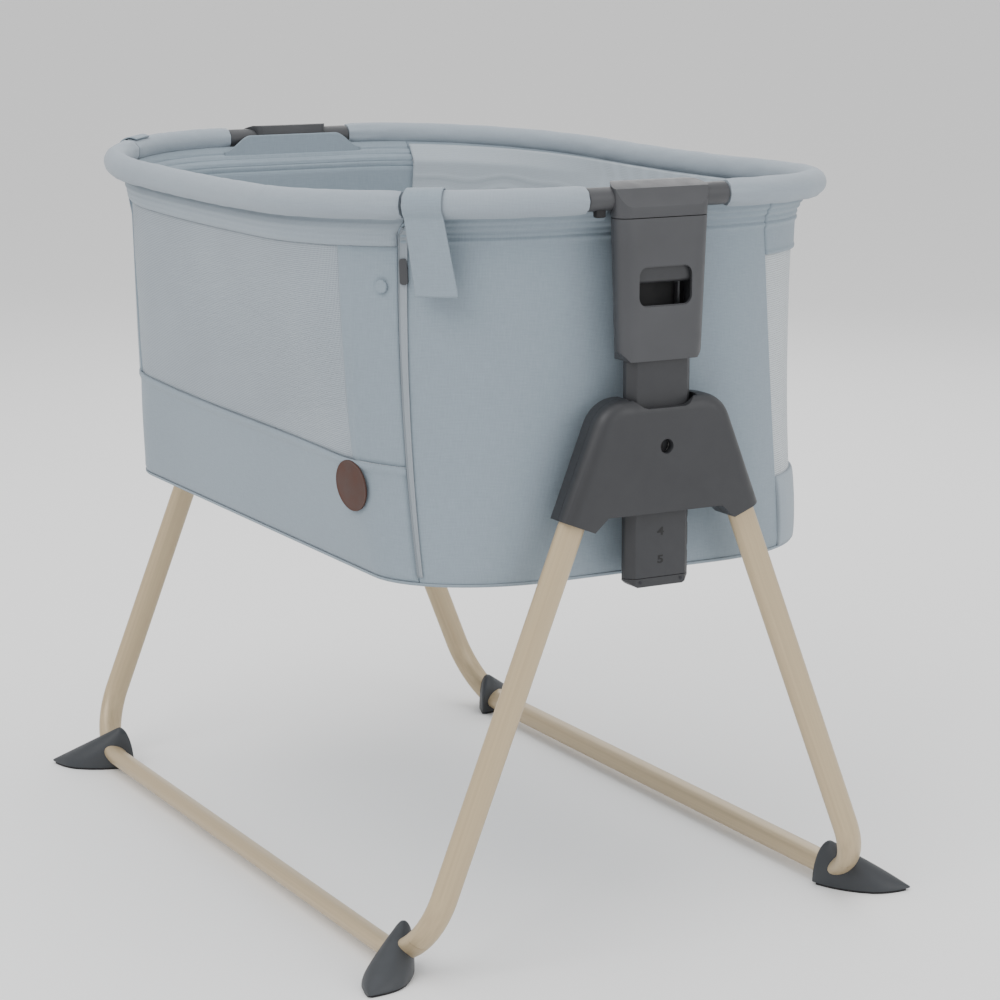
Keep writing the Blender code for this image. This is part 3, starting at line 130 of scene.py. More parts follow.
class Nodes:
    """A short hand for building a material's node tree."""

    def __init__(self, name: str) -> None:
        """Start a material with a bare Principled shader.

        Args:
            name: the material's name.
        """
        self.material = bpy.data.materials.new(name)
        self.material.use_nodes = True
        self.tree = self.material.node_tree
        self.shader = self.tree.nodes["Principled BSDF"]

    def add(self, kind: str, inputs: dict | None = None, **settings: object) -> bpy.types.Node:
        """Add a node and fill in its sockets.

        Args:
            kind: the node's type name, without its ShaderNode prefix.
            inputs: socket name or number to a value or to another node's output.
            settings: attributes of the node.

        Returns:
            The node.
        """
        node = self.tree.nodes.new("ShaderNode" + kind)
        for key, value in settings.items():
            setattr(node, key, value)
        self.fill(node, inputs or {})
        return node

    def fill(self, node: bpy.types.Node, inputs: dict) -> None:
        """Set or link a node's sockets.

        Args:
            node: the node.
            inputs: socket name or number to a value or to another node's output.
        """
        for key, value in inputs.items():
            if isinstance(value, Socket):
                self.tree.links.new(value, node.inputs[key])
            else:
                node.inputs[key].default_value = value

    def coordinates(self, kind: str, scale: Sequence[float] = (1, 1, 1)) -> Socket:
        """Return Object or UV coordinates, stretched by a scale on each axis."""
        source = self.add("TexCoord").outputs[kind]
        return self.add("Mapping", {"Vector": source, "Scale": scale}).outputs[0]

    def noise(self, where: Socket, scale: float, detail: float = 2.0) -> Socket:
        """Return a noise value from 0 to 1."""
        return self.add("TexNoise", {"Vector": where, "Scale": scale, "Detail": detail}).outputs["Fac"]

    def ramp(self, value: Socket, low: float, high: float,
             first: float = 0.0, last: float = 1.0) -> Socket:
        """Return a value stretched from one range to another, held at its ends.

        Args:
            value: the value.
            low: where the first range starts.
            high: where it ends.
            first: where the second range starts.
            last: where it ends.

        Returns:
            The stretched value.
        """
        node = self.add("MapRange", {"Value": value, "From Min": low, "From Max": high, "To Min": first,
                                     "To Max": last})
        return node.outputs["Result"]

    def mix(self, share: object, first: object, last: object, blend: str = "MIX") -> Socket:
        """Return a blend of two colours, each a socket or a plain colour."""
        one, two = (value if isinstance(value, Socket) else (*value, 1.0) for value in (first, last))
        return self.add("Mix", {0: share, 6: one, 7: two}, data_type="RGBA", blend_type=blend).outputs[2]

    def mottled(self, value: Socket, colour: Colour, dark: float, light: float,
                low: float = 0.3, high: float = 0.7) -> Socket:
        """Return a colour that runs from a darker to a lighter shade with a value."""
        return self.mix(self.ramp(value, low, high), shade(colour, dark), shade(colour, light))

    def math(self, kind: str, first: object, second: object = 0.0) -> Socket:
        """Return the result of a Math node."""
        return self.add("Math", {0: first, 1: second}, operation=kind).outputs[0]

    def bump(self, height: Socket, depth: float, strength: float = 1.0) -> Socket:
        """Return a normal bent by a height of so many metres."""
        return self.add("Bump", {"Height": height, "Distance": depth, "Strength": strength}).outputs[0]


def shade(colour: Colour, share: float) -> Colour:
    """Return a colour made darker (below 1) or lighter (above 1)."""
    return tuple(min(1.0, value * share) for value in colour)


WAVE_PERIOD = 0.3141593         # a Wave texture's period at scale 1
PAINTED_GAP_SHADE = (0.45, 0.45, 0.47)  # painted shade: what the cloth's colour is multiplied by in the gaps between its threads


@dataclass(frozen=True)
class WovenCloth:
    """Plain-weave cover cloth with a melange of lighter and darker yarns and painted shade between its
    threads. UVs are in metres.
    """

    name: str
    colour: Colour
    pitch: float = 0.0013
    relief: float = 0.00022
    mottle: float = 0.10

    def build(self) -> bpy.types.Material:
        """Return the cloth's material.

        Returns:
            The material.
        """
        n = Nodes(self.name)
        weave = {"Vector": n.coordinates("UV"), "Scale": WAVE_PERIOD / self.pitch, "Distortion": 0.6,
                 "Detail": 1.0, "Detail Scale": 2.0}
        waves = [n.add("TexWave", weave, bands_direction=way).outputs["Fac"] for way in "XY"]
        threads = n.math("MAXIMUM", *waves)
        yarns = [n.noise(n.coordinates("UV", scale), 1.0, 3.0) for scale in ((900, 70, 1), (70, 900, 1))]
        melange = n.math("ADD", *(n.math("MULTIPLY", yarn, 0.5) for yarn in yarns))
        base = n.mottled(melange, self.colour, 1 - self.mottle, 1 + self.mottle, 0.36, 0.64)
        cloudy = n.mottled(n.noise(n.coordinates("Object"), 5.0, 2.0), self.colour, 0.95, 1.05)
        # Painted shade: the colour is darkened in the gaps between the threads.
        painted_gap_shade_share = n.ramp(threads, 0.2, 0.9, 0.22, 0.0)
        n.fill(n.shader, {"Base Color": n.mix(painted_gap_shade_share, n.mix(0.45, base, cloudy), PAINTED_GAP_SHADE, "MULTIPLY"),
                          "Roughness": n.ramp(melange, 0.3, 0.7, 0.80, 0.93),
                          "Normal": n.bump(threads, self.relief, 0.6),
                          "Sheen Weight": 0.18, "Sheen Roughness": 0.45, "Specular IOR Level": 0.25})
        return n.material


@dataclass(frozen=True)
class SheerMesh:
    """Warp-knit mesh: round holes in a fine grid, so that what lies behind shows faintly."""

    name: str
    colour: Colour
    pitch: float = 0.0021
    open_share: float = 0.30
    closed_share: float = 0.92

    def build(self) -> bpy.types.Material:
        """Return the mesh's material.

        Returns:
            The material.
        """
        n = Nodes(self.name)
        grid = {"Vector": n.coordinates("UV"), "Scale": 1 / self.pitch, "Randomness": 0.0}
        cells = n.add("TexVoronoi", grid, voronoi_dimensions="2D", feature="F1").outputs["Distance"]
        yarn = n.ramp(cells, 0.26, 0.42)
        drift = n.noise(n.coordinates("Object"), 7.0)
        n.fill(n.shader, {"Base Color": n.mottled(drift, self.colour, 0.96, 1.04),
                          "Alpha": n.ramp(yarn, 0.0, 1.0, self.open_share, self.closed_share),
                          "Normal": n.bump(yarn, 0.0003, 0.5), "Roughness": n.ramp(yarn, 0.0, 1.0, 0.95, 0.8),
                          "Sheen Weight": 0.15, "Specular IOR Level": 0.2})
        return n.material


@dataclass(frozen=True)
class MouldedPlastic:
    """Injection-moulded plastic with a fine spark-eroded grain."""

    name: str
    colour: Colour
    roughness: float = 0.46
    grain: float = 0.00006

    def build(self) -> bpy.types.Material:
        """Return the plastic's material.

        Returns:
            The material.
        """
        n = Nodes(self.name)
        where = n.coordinates("Object")
        rubbed = n.noise(where, 70.0, 4.0)
        dull, glossy = self.roughness + 0.06, self.roughness - 0.04
        n.fill(n.shader, {"Base Color": n.mottled(n.noise(where, 14.0, 3.0), self.colour, 0.93, 1.07),
                          "Normal": n.bump(n.noise(where, 1500.0, 3.0), self.grain, 0.7),
                          "Roughness": n.ramp(rubbed, 0.35, 0.7, glossy, dull), "Specular IOR Level": 0.45})
        return n.material


@dataclass(frozen=True)
class SatinTube:
    """Powder-coated tube in a warm beige, faintly streaked along its length. UVs are in metres."""

    name: str
    colour: Colour

    def build(self) -> bpy.types.Material:
        """Return the coating's material.

        Returns:
            The material.
        """
        n = Nodes(self.name)
        streak = n.noise(n.coordinates("UV", (420, 9, 1)), 1.0, 4.0)
        speck = n.noise(n.coordinates("Object"), 900.0, 2.0)
        n.fill(n.shader, {"Base Color": n.mottled(streak, self.colour, 0.91, 1.06),
                          "Normal": n.bump(speck, 0.00003, 0.5),
                          "Roughness": n.ramp(streak, 0.3, 0.7, 0.36, 0.44),
                          "Metallic": 0.22, "Coat Weight": 0.12, "Coat Roughness": 0.3})
        return n.material


@dataclass(frozen=True)
class TannedLeather:
    """Smooth leather with a fine pebbled grain and an uneven tone."""

    name: str
    colour: Colour

    def build(self) -> bpy.types.Material:
        """Return the leather's material.

        Returns:
            The material.
        """
        n = Nodes(self.name)
        where = n.coordinates("Object")
        pebble = n.add("TexVoronoi", {"Vector": where, "Scale": 900.0}, feature="F1").outputs["Distance"]
        tone = n.noise(where, 60.0, 4.0)
        n.fill(n.shader, {"Base Color": n.mottled(tone, self.colour, 0.78, 1.18),
                          "Normal": n.bump(pebble, 0.0001, 0.8),
                          "Roughness": n.ramp(tone, 0.3, 0.7, 0.5, 0.66)})
        return n.material


@dataclass(frozen=True)
class PlainMetal:
    """Bare or blacked metal for screws and springs, brushed by a fine noise."""

    name: str
    colour: Colour

    def build(self) -> bpy.types.Material:
        """Return the metal's material.

        Returns:
            The material.
        """
        n = Nodes(self.name)
        brushed = n.noise(n.coordinates("Object", (1, 1, 12)), 300.0, 3.0)
        n.fill(n.shader, {"Base Color": n.mix(brushed, shade(self.colour, 0.85), self.colour),
                          "Roughness": n.ramp(brushed, 0.3, 0.7, 0.28, 0.42), "Metallic": 1.0})
        return n.material


class Finish(Enum):
    """Every finish on the bassinet."""

    COVER = WovenCloth("blue_grey_cover", linear(137, 150, 160))
    BAND = WovenCloth("padded_band_cloth", linear(148, 159, 168), 0.0013, 0.00018, 0.07)
    LINING = WovenCloth("soft_lining", linear(166, 175, 182), 0.0017, 0.00015, 0.05)
    RIM = WovenCloth("rim_sleeve_cloth", linear(148, 158, 167), 0.0012, 0.00018, 0.06)
    TICKING = WovenCloth("mattress_ticking", linear(205, 210, 213), 0.0016, 0.00030, 0.05)
    MESH = SheerMesh("side_mesh", linear(196, 202, 206))
    WINDOW = SheerMesh("window_mesh", linear(158, 167, 175), 0.0019, 0.55, 0.97)
    TAPE = WovenCloth("zip_tape", linear(150, 158, 165), 0.0009, 0.00025, 0.04)
    COIL = MouldedPlastic("zip_coil", linear(120, 128, 135), 0.4)
    HOUSING = MouldedPlastic("housing_plastic", linear(43, 44, 47))
    POD = MouldedPlastic("pod_plastic", linear(61, 62, 65))
    RAIL = MouldedPlastic("rail_plastic", linear(44, 45, 48), 0.5)
    # Near-black: the rim hook's own black plastic, and painted shade on the block that fills each pod's
    # hollow.
    BLACK_AND_HOLLOW_SHADE = MouldedPlastic("black_and_painted_hollow_shade", linear(24, 24, 26), 0.7)
    BOOT = MouldedPlastic("boot_plastic", linear(50, 53, 57), 0.5)
    INK = MouldedPlastic("numeral_ink", linear(16, 16, 18), 0.55)
    SOLE = MouldedPlastic("sole_rubber", linear(38, 38, 40), 0.85, 0.0001)
    GUIDE = MouldedPlastic("guide_white", linear(188, 188, 184), 0.35)
    BOARD = MouldedPlastic("base_board", linear(120, 122, 124), 0.75, 0.0001)
    TUBE = SatinTube("beige_coating", linear(182, 163, 131))
    LEATHER = TannedLeather("badge_leather", linear(64, 34, 22))
    STEEL = PlainMetal("plain_steel", linear(178, 180, 184))
    BLACKED = PlainMetal("blacked_screw", linear(62, 62, 66))


@functools.cache
def material(finish: Finish) -> bpy.types.Material:
    """Return a finish's material, built when it is first asked for."""
    return finish.value.build()


def dress(piece: Cloth, finish: Finish) -> None:
    """Give a piece one finish."""
    piece.data.materials.clear()
    piece.data.materials.append(material(finish))


# Building pieces

MEETING = 0.00002               # points nearer than this are one


def to_object(name: str, bm: Mesh, sharp: float = 35.0) -> Cloth:
    """Write a bmesh to a new object at the origin.

    Args:
        name: the object's name.
        bm: the mesh, which is freed.
        sharp: the angle in degrees above which an edge stays sharp.

    Returns:
        The object.
    """
    mesh = bpy.data.meshes.new(name)
    bm.to_mesh(mesh)
    bm.free()
    mesh.shade_smooth()
    mesh.set_sharp_from_angle(angle=math.radians(sharp))
    piece = bpy.data.objects.new(name, mesh)
    bpy.context.scene.collection.objects.link(piece)
    return piece


def patch(across: int, along: int, place: Place, width: float, length: float) -> Mesh:
    """Bend a flat grid onto a surface, with UVs in metres.

    Args:
        across: faces over the first parameter.
        along: faces over the second parameter.
        place: the surface, from two parameters of 0 to 1 to a point.
        width: the real width that the first parameter covers, for the UVs.
        length: the real length that the second parameter covers.

    Returns:
        The mesh.
    """
    bm = bmesh.new()
    bmesh.ops.create_grid(bm, x_segments=across, y_segments=along, size=0.5)
    where = {vertex: [min(max(side + 0.5, 0.0), 1.0) for side in vertex.co.xy] for vertex in bm.verts}
    layer = bm.loops.layers.uv.new("cloth")
    for face in bm.faces:
        for loop in face.loops:
            u, v = where[loop.vert]
            loop[layer].uv = (u * width, v * length)
    for vertex, (u, v) in where.items():
        vertex.co = place(u, v)
    return bm


def close(bm: Mesh, fill: bool = True) -> Mesh:
    """Merge a patch's meeting edges, cap its open ends and turn its faces out.

    Args:
        bm: the mesh.
        fill: whether open ends are capped.

    Returns:
        The same mesh.
    """
    bmesh.ops.remove_doubles(bm, verts=bm.verts, dist=MEETING)
    if fill:
        bmesh.ops.holes_fill(bm, edges=[e for e in bm.edges if e.is_boundary], sides=0)
    bmesh.ops.recalc_face_normals(bm, faces=bm.faces)
    return bm


def spread(bm: Mesh) -> None:
    """Give a mesh without UVs a flat projection from each face's main direction, in metres.

    Args:
        bm: the mesh.
    """
    layer = bm.loops.layers.uv.verify()
    for face in bm.faces:
        axis = max(range(3), key=lambda k: abs(face.normal[k]))
        first, last = [k for k in range(3) if k != axis]
        for loop in face.loops:
            loop[layer].uv = (loop.vert.co[first], loop.vert.co[last])


def face_towards(bm: Mesh, face: bmesh.types.BMFace, way: Sequence[float]) -> None:
    """Turn an open skin so that one of its faces, and the others with it, looks a given way.

    Args:
        bm: the mesh.
        face: the face that is looked at.
        way: the way it should look.
    """
    bmesh.ops.recalc_face_normals(bm, faces=bm.faces)
    if face.normal.dot(Vector(way)) < 0:
        bmesh.ops.reverse_faces(bm, faces=bm.faces)


def wall(piece: Cloth, thickness: float, offset: float = -1.0) -> Cloth:
    """Give an open skin a thickness.

    Args:
        piece: the object.
        thickness: in metres.
        offset: -1 to grow inwards, 0 to both sides.

    Returns:
        The same object.
    """
    step = piece.modifiers.new("wall", "SOLIDIFY")
    step.thickness = thickness
    step.offset = offset
    return piece


def soften(piece: Cloth, width: float, steps: int, angle: float) -> None:
    """Round a piece's edges that are sharper than an angle in degrees, with a Bevel modifier.

    Args:
        piece: the object.
        width: the rounding's width.
        steps: its faces.
        angle: edges sharper than this are rounded, in degrees.
    """
    step = piece.modifiers.new("soft_edges", "BEVEL")
    step.width = width
    step.segments = steps
    step.limit_method = "ANGLE"
    step.angle_limit = math.radians(angle)


def evaluated(piece: Cloth) -> bpy.types.Mesh:
    """Return a new mesh of an object as it stands, its modifiers applied."""
    bpy.context.view_layer.update()
    return bpy.data.meshes.new_from_object(piece.evaluated_get(bpy.context.evaluated_depsgraph_get()))


def bake(piece: Cloth) -> None:
    """Apply a piece's modifiers to its mesh."""
    mesh = evaluated(piece)
    piece.modifiers.clear()
    piece.data = mesh


def carve(piece: Cloth, tools: Iterable[Mesh], operation: str = "DIFFERENCE") -> Cloth:
    """Cut pieces out of a piece with exact Booleans and apply them.

    Args:
        piece: the object to cut.
        tools: closed meshes, which are used up.
        operation: the Boolean's kind.

    Returns:
        The object.
    """
    made = []
    for index, tool in enumerate(tools):
        bmesh.ops.recalc_face_normals(tool, faces=tool.faces)
        cutter = to_object(f"{piece.name}_tool_{index}", tool)
        step = piece.modifiers.new("cut", "BOOLEAN")
        step.object = cutter
        step.operation = operation
        step.solver = "EXACT"
        made.append(cutter)
    bake(piece)
    for cutter in made:
        bpy.data.objects.remove(cutter, do_unlink=True)
    return piece


def resharpen(piece: Cloth, angle: float) -> Cloth:
    """Shade a piece smooth again, its edges above an angle in degrees sharp.

    Args:
        piece: the object.
        angle: edges above this stay sharp, in degrees.

    Returns:
        The same object.
    """
    piece.data.shade_smooth()
    piece.data.set_sharp_from_angle(angle=math.radians(angle))
    return piece


def block(low: Sequence[float], high: Sequence[float]) -> Mesh:
    """Return a box between two corners.

    Args:
        low: the corner with the lowest values.
        high: the opposite corner.

    Returns:
        The mesh.
    """
    bm = bmesh.new()
    bmesh.ops.create_cube(bm, size=1.0)
    bmesh.ops.scale(bm, vec=[h - l for l, h in zip(low, high)], verts=bm.verts)
    bmesh.ops.translate(bm, vec=[(l + h) / 2 for l, h in zip(low, high)], verts=bm.verts)
    return bm


def prism(outline: Iterable[Sequence[float]], move: Sequence[float]) -> Mesh:
    """Return the solid between a flat outline and its copy further along.

    Args:
        outline: the flat outline's points in order.
        move: from the outline to its copy.

    Returns:
        The mesh.
    """
    bm = bmesh.new()
    face = bm.faces.new([bm.verts.new(point) for point in outline])
    lifted = bmesh.ops.extrude_face_region(bm, geom=[face])
    moved = [item for item in lifted["geom"] if isinstance(item, bmesh.types.BMVert)]
    bmesh.ops.translate(bm, vec=move, verts=moved)
    bmesh.ops.recalc_face_normals(bm, faces=bm.faces)
    return bm


def rod(radius: float, first: Sequence[float], last: Sequence[float], sides: int,
        end_radius: float | None = None) -> Mesh:
    """Return a cylinder or cone between two points.

    Args:
        radius: the radius at the first point.
        first: the first end's centre.
        last: the other end's centre.
        sides: faces round it.
        end_radius: the radius at the other end, the same if none is given.

    Returns:
        The mesh.
    """
    start, stop = Vector(first), Vector(last)
    along = stop - start
    bm = bmesh.new()
    bmesh.ops.create_cone(bm, cap_ends=True, segments=sides, radius1=radius,
                          radius2=radius if end_radius is None else end_radius, depth=along.length)
    turn = along.to_track_quat("Z", "Y").to_matrix().to_4x4()
    bmesh.ops.transform(bm, matrix=Matrix.Translation((start + stop) / 2) @ turn, verts=bm.verts)
    return bm


def rounded(bm: Mesh, edges: Iterable[Edge], width: float, steps: int) -> None:
    """Round some edges of a mesh."""
    bmesh.ops.bevel(bm, geom=list(edges), offset=width, offset_type="OFFSET", segments=steps, profile=0.5,
                    affect="EDGES", clamp_overlap=True, material=-1)


def runs_along(edge: Edge, axis: int) -> bool:
    """Tell whether an edge runs mainly along an axis."""
    run = edge.verts[1].co - edge.verts[0].co
    return abs(run[axis]) > 0.8 * run.length


def lies_at(edge: Edge, x: float) -> bool:
    """Tell whether an edge lies in the plane at a place along X."""
    return all(abs(vertex.co.x - x) < 1e-6 for vertex in edge.verts)


def slice_off(bm: Mesh, point: Sequence[float], normal: Sequence[float]) -> None:
    """Cut away what lies beyond a plane and close the mesh there.

    Args:
        bm: the mesh.
        point: a point on the plane.
        normal: the way out of what is kept.
    """
    everything = bm.verts[:] + bm.edges[:] + bm.faces[:]
    result = bmesh.ops.bisect_plane(bm, geom=everything, plane_co=point, plane_no=normal, clear_outer=True)
    rim = [item for item in result["geom_cut"] if isinstance(item, Edge)]
    bmesh.ops.edgeloop_fill(bm, edges=rim)


def cut_corners(bm: Mesh, half: float, bottom: float, width: float, height: float) -> None:
    """Cut both lower corners off a form, as seen along X."""
    for side in (1, -1):
        slice_off(bm, (0, side * half, bottom + height), (0, side * height, -width))


def turned(bm: Mesh, matrix: Matrix) -> Mesh:
    """Move a mesh by a matrix, its faces kept pointing out.

    Args:
        bm: the mesh.
        matrix: the move, a mirroring one too.

    Returns:
        The same mesh.
    """
    bmesh.ops.transform(bm, matrix=matrix, verts=bm.verts)
    if matrix.determinant() < 0:
        bmesh.ops.reverse_faces(bm, faces=bm.faces)
    return bm


FONT_SIZE = 1.38                # the font's size over the height of its numerals
NUMERAL_WEIGHT = 0.045          # how much bolder a stroke is made, over the height
NUMERAL_SPREAD = 1.35           # how much wider a numeral is made
NUMERAL_DEPTH = 0.0003


def numeral(text: str, height: float, matrix: Matrix) -> Mesh:
    """Return a position numeral as a thin solid.

    Args:
        text: the numeral.
        height: its height in metres.
        matrix: where it stands: X along the line of writing, Y up, Z out of the face.

    Returns:
        The mesh.
    """
    curve = bpy.data.curves.new("numeral", "FONT")
    curve.body = text
    curve.size = height * FONT_SIZE
    curve.align_x = "CENTER"
    curve.align_y = "CENTER"
    curve.extrude = NUMERAL_DEPTH / 2
    curve.offset = height * NUMERAL_WEIGHT
    letter = bpy.data.objects.new("numeral", curve)
    bpy.context.scene.collection.objects.link(letter)
    bm = bmesh.new()
    bm.from_mesh(evaluated(letter))
    bmesh.ops.remove_doubles(bm, verts=bm.verts, dist=0.00001)
    bmesh.ops.scale(bm, vec=(NUMERAL_SPREAD, 1.0, 1.0), verts=bm.verts)
    bmesh.ops.transform(bm, matrix=matrix, verts=bm.verts)
    bpy.data.objects.remove(letter, do_unlink=True)
    return bm


def joined(parts: Iterable[Mesh]) -> Mesh:
    """Put several meshes in one.

    Args:
        parts: the meshes, which are used up.

    Returns:
        The new mesh.
    """
    whole = bmesh.new()
    for part in parts:
        mesh = bpy.data.meshes.new("part")
        part.to_mesh(mesh)
        part.free()
        whole.from_mesh(mesh)
        bpy.data.meshes.remove(mesh)
    return whole


def distances(line: Sequence[Vector]) -> list[float]:
    """Return how far along a line each of its points lies.

    Args:
        line: the points.

    Returns:
        One distance for each point, 0 for the first.
    """
    lengths = [0.0]
    for one, two in zip(line, line[1:]):
        lengths.append(lengths[-1] + (two - one).length)
    return lengths


def resampled(line: Sequence[Vector], count: int) -> list[Vector]:
    """Return a line's points at so many even steps.

    Args:
        line: the points.
        count: the number of steps.

    Returns:
        The points, count and one more.
    """
    lengths = distances(line)
    points, index = [], 0
    for i in range(count + 1):
        goal = lengths[-1] * i / count
        while index < len(line) - 2 and lengths[index + 1] < goal:
            index += 1
        span = max(lengths[index + 1] - lengths[index], 1e-9)
        points.append(line[index].lerp(line[index + 1], min(1.0, (goal - lengths[index]) / span)))
    return points


def ellipse(half_across: float, half_along: float) -> Section:
    """Return an elliptical section for a sweep."""
    return lambda turn, share: (half_across * math.cos(turn), half_along * math.sin(turn))


def sweep(path: Sequence[Vector], section: Section, sides: int, across: Vector | None = None,
          ends: bool = True) -> Mesh:
    """Draw a closed section along a path.

    Args:
        path: the centre line's points.
        section: from the turn round the tube in radians and the share of the path to the two offsets,
            first across the path in its plane and then along the across direction.
        sides: faces round the tube.
        across: the direction that is square to the path's plane, up if none is given.
        ends: whether the ends are capped.

    Returns:
        The mesh, with UVs in metres.
    """
    across = (across or Vector((0, 0, 1))).normalized()
    last = len(path) - 1
    lengths = distances(path)
    girth = distances([Vector(section(2 * math.pi * i / 24, 0.5)) for i in range(25)])[-1]

    def place(u: float, v: float) -> Vector:
        """Return the surface's point."""
        index = min(int(v * last + 0.5), last)
        here = path[index]
        ahead, behind = path[min(index + 1, last)], path[max(index - 1, 0)]
        along = (ahead - behind).normalized()
        side = along.cross(across).normalized()
        upward = side.cross(along).normalized()
        one, two = section(2 * math.pi * u, lengths[index] / lengths[-1])
        return here + side * one + upward * two

    bm = patch(sides, last, place, girth, lengths[-1])
    return close(bm, ends)


# Plan shapes

@dataclass(frozen=True)
class PlanOval:
    """A plan outline with straight ends and sides and elliptical corners."""

    half_length: float
    half_width: float
    corner_length: float
    corner_width: float

    def at(self, angle: float) -> Vector:
        """Return the point at an angle in degrees: 0 at the near end and 90 at the mesh side.

        Args:
            angle: an angle round the outline, in degrees.

        Returns:
            The point in plan.
        """
        turn = math.radians(angle % 360.0)
        cosine, sine = math.cos(turn), math.sin(turn)
        x = (self.half_length - self.corner_length) * (1 if cosine > 1e-9 else -1 if cosine < -1e-9 else 0)
        y = (self.half_width - self.corner_width) * (1 if sine > 1e-9 else -1 if sine < -1e-9 else 0)
        return Vector((x + self.corner_length * cosine, y + self.corner_width * sine))

    def walk(self, first: float, last: float, count: int) -> list[Vector]:
        """Return points at even steps along the outline between two angles.

        Args:
            first: the angle to start at, in degrees.
            last: the angle to end at, above the first.
            count: the number of steps.

        Returns:
            The points, count and one more.
        """
        fine: list[Vector] = []
        steps = max(8, int((last - first) / 1.5))
        for i in range(steps + 1):
            angle = first + (last - first) * i / steps
            if abs(angle / 90 - round(angle / 90)) < 1e-6:
                fine += [self.at(angle - 0.001), self.at(angle + 0.001)] if 0 < i < steps else [self.at(
                    angle + (0.001 if i == 0 else -0.001))]
            else:
                before = first + (last - first) * (i - 1) / steps if i else angle
                corner = 90 * math.floor(angle / 90)
                if before < corner - 1e-6 and corner < angle:
                    fine += [self.at(corner - 0.001), self.at(corner + 0.001)]
                fine.append(self.at(angle))
        return resampled(fine, count)

    def inset(self, distance: float) -> PlanOval:
        """Return the outline drawn in all round."""
        return PlanOval(self.half_length - distance, self.half_width - distance,
                        max(self.corner_length - distance, 0.002), max(self.corner_width - distance, 0.002))

    def towards(self, other: PlanOval, share: float) -> PlanOval:
        """Return the outline part of the way to another one.

        Args:
            other: the other outline.
            share: 0 for this one and 1 for the other.

        Returns:
            The outline between them.
        """
        mine = (self.half_length, self.half_width, self.corner_length, self.corner_width)
        its = (other.half_length, other.half_width, other.corner_length, other.corner_width)
        return PlanOval(*(a + (b - a) * share for a, b in zip(mine, its)))


def smooth_step(low: float, high: float, value: float) -> float:
    """Return 0 below low, 1 above high and an S curve between."""
    share = min(1.0, max(0.0, (value - low) / (high - low)))
    return share * share * (3 - 2 * share)


def ridge(value: float, centre: float, half: float) -> float:
    """Return a rounded bump of height 1 about a centre."""
    share = abs(value - centre) / half
    return math.cos(share * math.pi / 2) if share < 1 else 0.0


def rumple(first: float, last: float, seed: float) -> float:
    """Return smooth noise about 0, its own for each seed."""
    return noise.noise(Vector((first, last, seed)))


@dataclass(frozen=True)
class TubForm:
    """The tub's outer surface, the same all round both ends."""

    rim: PlanOval = PlanOval(0.405, 0.286, 0.248, 0.211)
    base: PlanOval = PlanOval(0.380, 0.229, 0.100, 0.140)
    neck: PlanOval = PlanOval(0.3825, 0.2765, 0.240, 0.203)
    rim_height: float = 0.7145
    rim_dip: float = 0.0105
    bottom: float = 0.3605
    neck_height: float = 0.6863
    top: float = 0.7043
    hem_inset: float = 0.008
    waist: float = 0.005
    band_top: float = 0.402

    def dip(self, x: float) -> float:
        """Return how far the rim lies below its ends."""
        return self.rim_dip * (1 - min(1.0, abs(x) / self.rim.half_length) ** 2)

    def plan(self, z: float) -> PlanOval:
        """Return the outline at a height before the rim's dip.

        Args:
            z: a height, before the rim's dip.

        Returns:
            The outline.
        """
        if z <= self.neck_height:
            return self.base.towards(self.neck, (z - self.bottom) / (self.neck_height - self.bottom))
        share = (z - self.neck_height) / (self.top - self.neck_height)
        return self.neck.towards(self.rim.inset(self.hem_inset), share)

    def settle(self, point: Vector, z: float) -> Vector:
        """Draw a point in at the mesh side's waist and lower it with the rim's dip.

        Args:
            point: a point in plan.
            z: a height, before the rim's dip.

        Returns:
            The point in space.
        """
        share = (z - self.bottom) / (self.top - self.bottom)
        rise = min(1.0, max(0.0, (z - self.band_top) / (self.neck_height - self.band_top)))
        waist = self.waist * math.sin(math.pi * rise) * max(0.0, point.y / self.rim.half_width)
        return Vector((point.x, point.y - waist, z - self.dip(point.x) * share))

    def seam(self, top: float, bottom: float, z: float) -> float:
        """Return a seam's angle at a height, from its angles at the rim and at the hem."""
        return bottom + (top - bottom) * (z - self.bottom) / (self.top - self.bottom)

    def rim_point(self, flat: Vector) -> Vector:
        """Return the rim tube's centre over a point of its outline."""
        return Vector((flat.x, flat.y, self.rim_height - self.dip(flat.x)))

    def drop_y(self, x: float, z: float) -> float:
        """Return how far out the drop side lies at a place along the tub.

        Args:
            x: the place along the tub.
            z: a height, before the rim's dip.

        Returns:
            The place across it, below 0.
        """
        plan = self.plan(z)
        over = max(0.0, abs(x) - (plan.half_length - plan.corner_length)) / plan.corner_length
        bulge = plan.corner_width * math.sqrt(max(0.0, 1 - over * over))
        return -(plan.half_width - plan.corner_width + bulge)

    def normal(self, angle: float, z: float) -> Vector:
        """Return the way out of the surface near an angle and height.

        Args:
            angle: an angle round the outline, in degrees.
            z: a height, before the rim's dip.

        Returns:
            A direction of length 1.
        """
        plan = self.plan(z)
        run = plan.at(angle + 0.4) - plan.at(angle - 0.4)
        lower, upper = self.plan(z - 0.004).at(angle), self.plan(z + 0.004).at(angle)
        rise = Vector((upper.x - lower.x, upper.y - lower.y, 0.008))
        return Vector((run.x, run.y, 0.0)).cross(rise).normalized()


FORM = TubForm()


@dataclass
class SubAssembly:
    """What every sub-assembly shares: a list of its finished pieces."""

    pieces: list[Cloth] = field(default_factory=list)

    def add(self, piece: Cloth, finish: Finish, body: Body, slot: str, *nodes: str) -> None:
        """Dress a piece, put it on its body and hide the nodes that it stands for.

        Args:
            piece: the object.
            finish: its finish.
            body: the body it rides on.
            slot: the record's material slot; not used.
            nodes: the frame's nodes that it replaces.
        """
        dress(piece, finish)
        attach(piece, body.value)
        if nodes:
            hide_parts(*nodes)
        self.pieces.append(piece)
        LOG.info("%s on %s", piece.name, body.value)


# Stand

